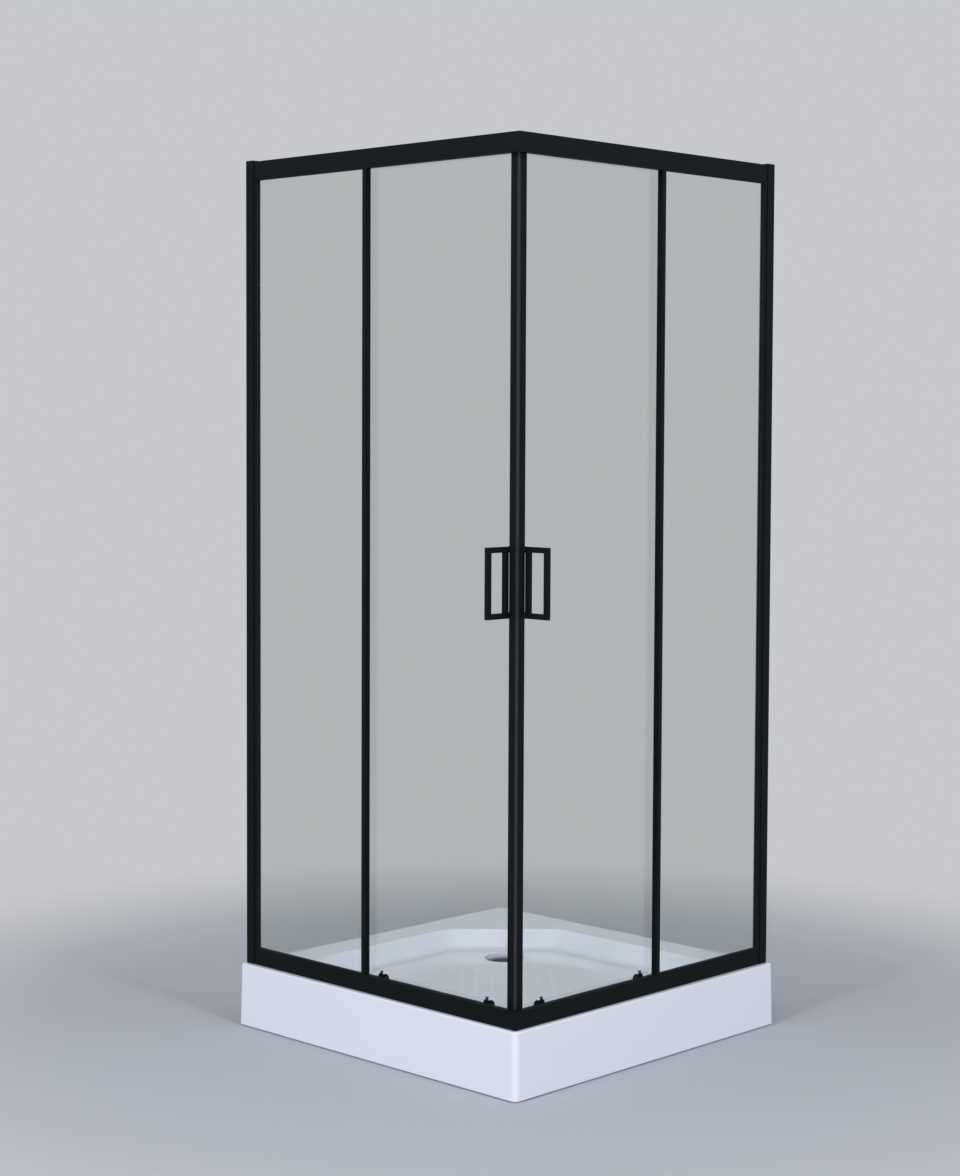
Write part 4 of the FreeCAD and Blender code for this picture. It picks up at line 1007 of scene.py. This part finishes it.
# The base colour of the panes carries painted shade as well as the glass's own tint.
glass_finish = surface_finish(
    "clear_glass", glass_tint_and_painted_shade, Roughness=0.0, IOR=1.5, Transmission_Weight=1.0)
pass_lamps(glass_finish, pane_shadow_tone)
edge_finish = surface_finish(
    "ground_glass_edge", glass_edge_tone, polish=glass_edge_polish,
    Roughness=0.4, IOR=1.5, Transmission_Weight=0.25)
for side in ("left", "right"):
    node = "fixed_stile_" + side
    hand_over(eased_copy(node, "profile"), node, [coat_finish])
    node = "fixed_glass_" + side
    pane = hand_over(eased_copy(node, "pane", glass_arris), node, [glass_finish, edge_finish])
    mark_pane_edges(pane)
hand_over(eased_copy("glazing_gaskets", "frames"), "glazing_gaskets", [rubber_finish])

# Doors
# A pane with a tubular upright on its leading edge. The upright carries a flexible magnetic
# strip that meets the other door's, and a clear soft seal wipes the fixed upright behind.
magnet_tone = (0.005, 0.0075, 0.0105, 1)
magnet_polish = (500, 3, 0.42, 0.6)
magnet_edge = 0.0002
seal_tone = (0.8, 0.84, 0.83, 1)
seal_polish = (20, 2, 0.18, 0.26)
seal_edge = 0.0001

magnet_finish = surface_finish("magnetic_strip", magnet_tone, polish=magnet_polish, Roughness=0.5)
seal_finish = surface_finish(
    "clear_soft_seal", seal_tone, polish=seal_polish, Roughness=0.22, IOR=1.45, Transmission_Weight=0.85)
pass_lamps(seal_finish, seal_tone)
for side in ("left", "right"):
    node = "door_glass_" + side
    pane = hand_over(eased_copy(node, "pane", glass_arris), node, [glass_finish, edge_finish])
    mark_pane_edges(pane)
    node = "door_stile_" + side
    hand_over(eased_copy(node, "profile"), node, [coat_finish])
    node = "magnetic_seal_" + side
    hand_over(eased_copy(node, "strip", magnet_edge), node, [magnet_finish])
    node = "trailing_seal_" + side
    hand_over(eased_copy(node, "strip", seal_edge), node, [seal_finish])

# Handles
# A ring of flat bar stands out from each door's glass, held from inside by two screws with
# round caps. Flat-headed bolts with hexagon sockets carry the rollers.
handle_bar = 0.012
handle_edge = 0.0009
handle_edge_steps = 3
small_steps = 24
small_pitch = 0.0009
shank_r = 0.0025
cap_r = 0.007
cap_height = 0.004
cap_edge = 0.0008
bolt_head_r = 0.006
bolt_head_height = 0.0015
bolt_edge = 0.0005
socket_r = 0.0024
socket_depth = 0.0009
clip_groove = 0.0007
handle_zone = (0.5, 1.5)
inward = {"left": Vector((0, 1, 0)), "right": Vector((-1, 0, 0))}
quarter_turn = math.pi / 2
inward_turn = {
    "left": Matrix.Rotation(-quarter_turn, 4, "X"),
    "right": Matrix.Rotation(-quarter_turn, 4, "Y"),
}


def handle_ring(node, name, across):
    """A block with a window bridged through it, and all its edges rounded."""
    ring = block(name, *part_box(node))
    edit(ring)
    choose(ring, "FACE", lambda face: abs(face.normal.dot(across)) > facing_limit)
    bpy.ops.mesh.inset(thickness=handle_bar, use_individual=True)
    bpy.ops.mesh.bridge_edge_loops()
    finish_editing()
    apply_modifier(ring, "BEVEL", width=handle_edge, segments=handle_edge_steps, limit_method="ANGLE")
    smooth_flats(ring)
    return ring


def ends_of(low, high):
    """Moves an upright piece to a solid's outer end, and to its inner end, facing into the cabin."""
    side = "left" if low.x + high.x < -low.y - high.y else "right"
    half = inward[side] * abs((high - low).dot(inward[side])) / 2
    middle = (low + high) / 2
    return [Matrix.Translation(middle + way * half) @ inward_turn[side] for way in (-1, 1)]


def axis_length(low, high):
    """How long a round solid is along its axis, which lies flat."""
    return max(high.x - low.x, high.y - low.y)


def capped_screw(low, high):
    """A threaded shank under a low round cap, its top at the origin."""
    length = axis_length(low, high)
    outline = [(0, -length)] + screw_thread(shank_r, -length, -cap_height, small_pitch)
    outline += [(cap_r - cap_edge, -cap_height), (cap_r, cap_edge - cap_height), (cap_r, -2 * cap_edge)]
    outline += [(cap_r - cap_edge / 2, -cap_edge), (cap_r - 2 * cap_edge, -cap_edge / 4), (0, 0)]
    return turned("handle_screw", outline, steps=small_steps)


def roller_bolt(low, high):
    """A flat head with a hexagon socket at the origin, and an axle with a groove for its clip."""
    length = axis_length(low, high)
    groove_low = length - 2 * clip_groove
    groove_high = length - clip_groove
    groove_r = shank_r - clip_groove
    outline = [(0, 0), (bolt_head_r - bolt_edge, 0), (bolt_head_r, bolt_edge)]
    outline += [(bolt_head_r, bolt_head_height), (shank_r, bolt_head_height)]
    outline += [(shank_r, groove_low), (groove_r, groove_low), (groove_r, groove_high)]
    outline += [(shank_r, groove_high), (shank_r, length), (0, length)]
    bolt = turned("roller_bolt", outline, steps=small_steps)
    carve(bolt, upright_cylinder("socket", (0, 0), socket_r, -socket_depth, socket_depth, hexagon))
    return bolt


def door_fixings(node):
    """The two handle screws and the four roller bolts of a door, as one piece."""
    pieces = []
    for low, high in solid_boxes(node):
        outer_end, inner_end = ends_of(low, high)
        if handle_zone[0] < low.z < handle_zone[1]:
            piece = capped_screw(low, high)
            piece.data.transform(inner_end)
        else:
            piece = roller_bolt(low, high)
            piece.data.transform(outer_end)
        pieces.append(piece)
    pieces[0].name = node + "_set"
    fixings = joined(pieces)
    smooth_flats(fixings)
    return fixings


for side, across in (("left", Vector((1, 0, 0))), ("right", Vector((0, 1, 0)))):
    node = "handle_" + side
    hand_over(handle_ring(node, node + "_ring", across), node, [coat_finish])
    node = "door_fixings_" + side
    hand_over(door_fixings(node), node, [coat_finish])

# Rollers
# The upper wheels hang the door on a rib inside the head rail. The lower ones press up from
# sprung sliders in moulded housings, whose thumb tabs free the door for cleaning. Each wheel
# is turned from nylon, with five small holes through its web, and pressed onto a ball bearing.
nylon_grey = (0.045, 0.046, 0.05, 1)
nylon_polish = (900, 3, 0.34, 0.48)
wheel_radii = {"top_wheel": 0.011, "bottom_wheel": 0.009}
bearing_radii = {"top_wheel": 0.0055, "bottom_wheel": 0.0046}
wheel_width = 0.0056
wheel_groove_depth = 0.0022
wheel_groove_width = 0.0022
wheel_edge = 0.0004
web_holes = 5
web_hole_corners = 16
web_share = 0.26
web_turn_share = 0.15
bearing_inset = 0.0003
bearing_shield = 0.0002
bearing_race = 0.0008
mount_plate = 0.0035
mount_hub_r = 0.0045
mount_edge = 0.0006


def there_and_back(half_outline):
    """An outline that is the same on both sides of height zero, closed on itself."""
    mirrored_half = [(radius, -height) for radius, height in reversed(half_outline)]
    return half_outline + mirrored_half + half_outline[:1]


def roller_wheel(name):
    """A grooved tyre with a drilled web, on a ball bearing."""
    radius = wheel_radii[name]
    groove_r = radius - wheel_groove_depth
    bearing_r = bearing_radii[name]
    half = wheel_width / 2
    lip = wheel_groove_width / 2
    tyre = turned(name, there_and_back([
        (bearing_r, -half), (radius - wheel_edge, -half), (radius, wheel_edge - half),
        (radius, -lip - wheel_edge), (groove_r, -lip)]))
    web_r = (bearing_r + groove_r) / 2
    hole_r = (groove_r - bearing_r) * web_share
    for number in range(web_holes):
        angle = 2 * math.pi * (number + web_turn_share) / web_holes
        place = (web_r * math.cos(angle), web_r * math.sin(angle))
        carve(tyre, upright_cylinder("hole", place, hole_r, -wheel_width, wheel_width, web_hole_corners))
    face = bearing_inset - half
    shield = face + bearing_shield
    bearing = turned(name + "_bearing", there_and_back([
        (shank_r, face), (shank_r + bearing_race, face), (shank_r + bearing_race, shield),
        (bearing_r - bearing_race, shield), (bearing_r - bearing_race, face), (bearing_r, face)]))
    wheel = joined([tyre, bearing])
    smooth_flats(wheel)
    return wheel


def roller_mount(node):
    """A round plate on the glass with a hub that the upper wheel's bolt passes through."""
    low, high = solid_boxes(node)[0]
    plate_r = (high.z - low.z) / 2
    depth = min(high.x - low.x, high.y - low.y)
    outline = [(shank_r, 0), (plate_r - mount_edge, 0), (plate_r, mount_edge)]
    outline += [(plate_r, mount_plate - 2 * mount_edge), (plate_r - 2 * mount_edge, mount_plate)]
    outline += [(mount_hub_r + mount_edge, mount_plate), (mount_hub_r, mount_plate + mount_edge / 2)]
    outline += [(mount_hub_r, depth), (shank_r, depth), (shank_r, 0)]
    mount = turned(node + "_turned", outline)
    smooth_flats(mount)
    return mount


nylon_finish = surface_finish("turned_nylon", nylon_grey, polish=nylon_polish, Roughness=0.4)
wheels = {group: roller_wheel(group) for group in wheel_radii}
for side in ("left", "right"):
    node = "top_roller_mounts_" + side
    mounts = repeated(roller_mount(node), [ends_of(*box)[0] for box in solid_boxes(node)])
    hand_over(mounts, node, [plastic_finish])
    node = "bottom_roller_housings_" + side
    hand_over(eased_copy(node, "mouldings"), node, [plastic_finish])
    for place in ("wall", "entry"):
        for group, first in wheels.items():
            node = f"{group}_{place}_{side}"
            low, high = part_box(node)
            middle = (low + high) / 2
            wheel = copied(first, Matrix.Translation(middle) @ inward_turn[side])
            wheel.name = node + "_turned"
            hand_over(wheel, node, [nylon_finish, zinc_finish])
            metal_r = bearing_radii[group] - wheel_edge
            mark_faces(wheel, lambda face: (face.center - middle).cross(inward[side]).length < metal_r)
        node = f"release_slider_{place}_{side}"
        hand_over(eased_copy(node, "moulding"), node, [plastic_finish])
for first in wheels.values():
    bpy.data.objects.remove(first)

# Screws and stops
# Black pan-head screws with cross recesses hold the jambs and the corner brackets. Rubber
# blocks on the head rail's ledge stop the upper wheels at both ends.
screw_r = 0.0019
screw_head_r = 0.0034
screw_head_height = 0.0018
screw_edge = 0.0005
recess_width = 0.0009
recess_length = 0.0038
recess_depth = 0.0010
stop_edge = 0.0006


def pan_head_screw(node):
    """A threaded shank under a rounded head with a cross recess, the head's top at the origin."""
    length = axis_length(*solid_boxes(node)[0])
    outline = [(0, -length)] + screw_thread(screw_r, -length, -screw_head_height, small_pitch)
    outline += [(screw_head_r, -screw_head_height), (screw_head_r, screw_edge - screw_head_height)]
    outline += [(screw_head_r - screw_edge, -screw_edge), (screw_head_r - 3 * screw_edge, 0), (0, 0)]
    screw = turned(node + "_black", outline, steps=small_steps)
    half = recess_length / 2
    thin = recess_width / 2
    for reach_x, reach_y in ((half, thin), (thin, half)):
        carve(screw, block("slot", (-reach_x, -reach_y, -recess_depth), (reach_x, reach_y, recess_depth)))
    smooth_flats(screw)
    return screw


frame_screws = repeated(
    pan_head_screw("frame_screws"), [ends_of(*box)[1] for box in solid_boxes("frame_screws")])
hand_over(frame_screws, "frame_screws", [coat_finish])
hand_over(eased_copy("door_stops", "blocks", stop_edge), "door_stops", [rubber_finish])
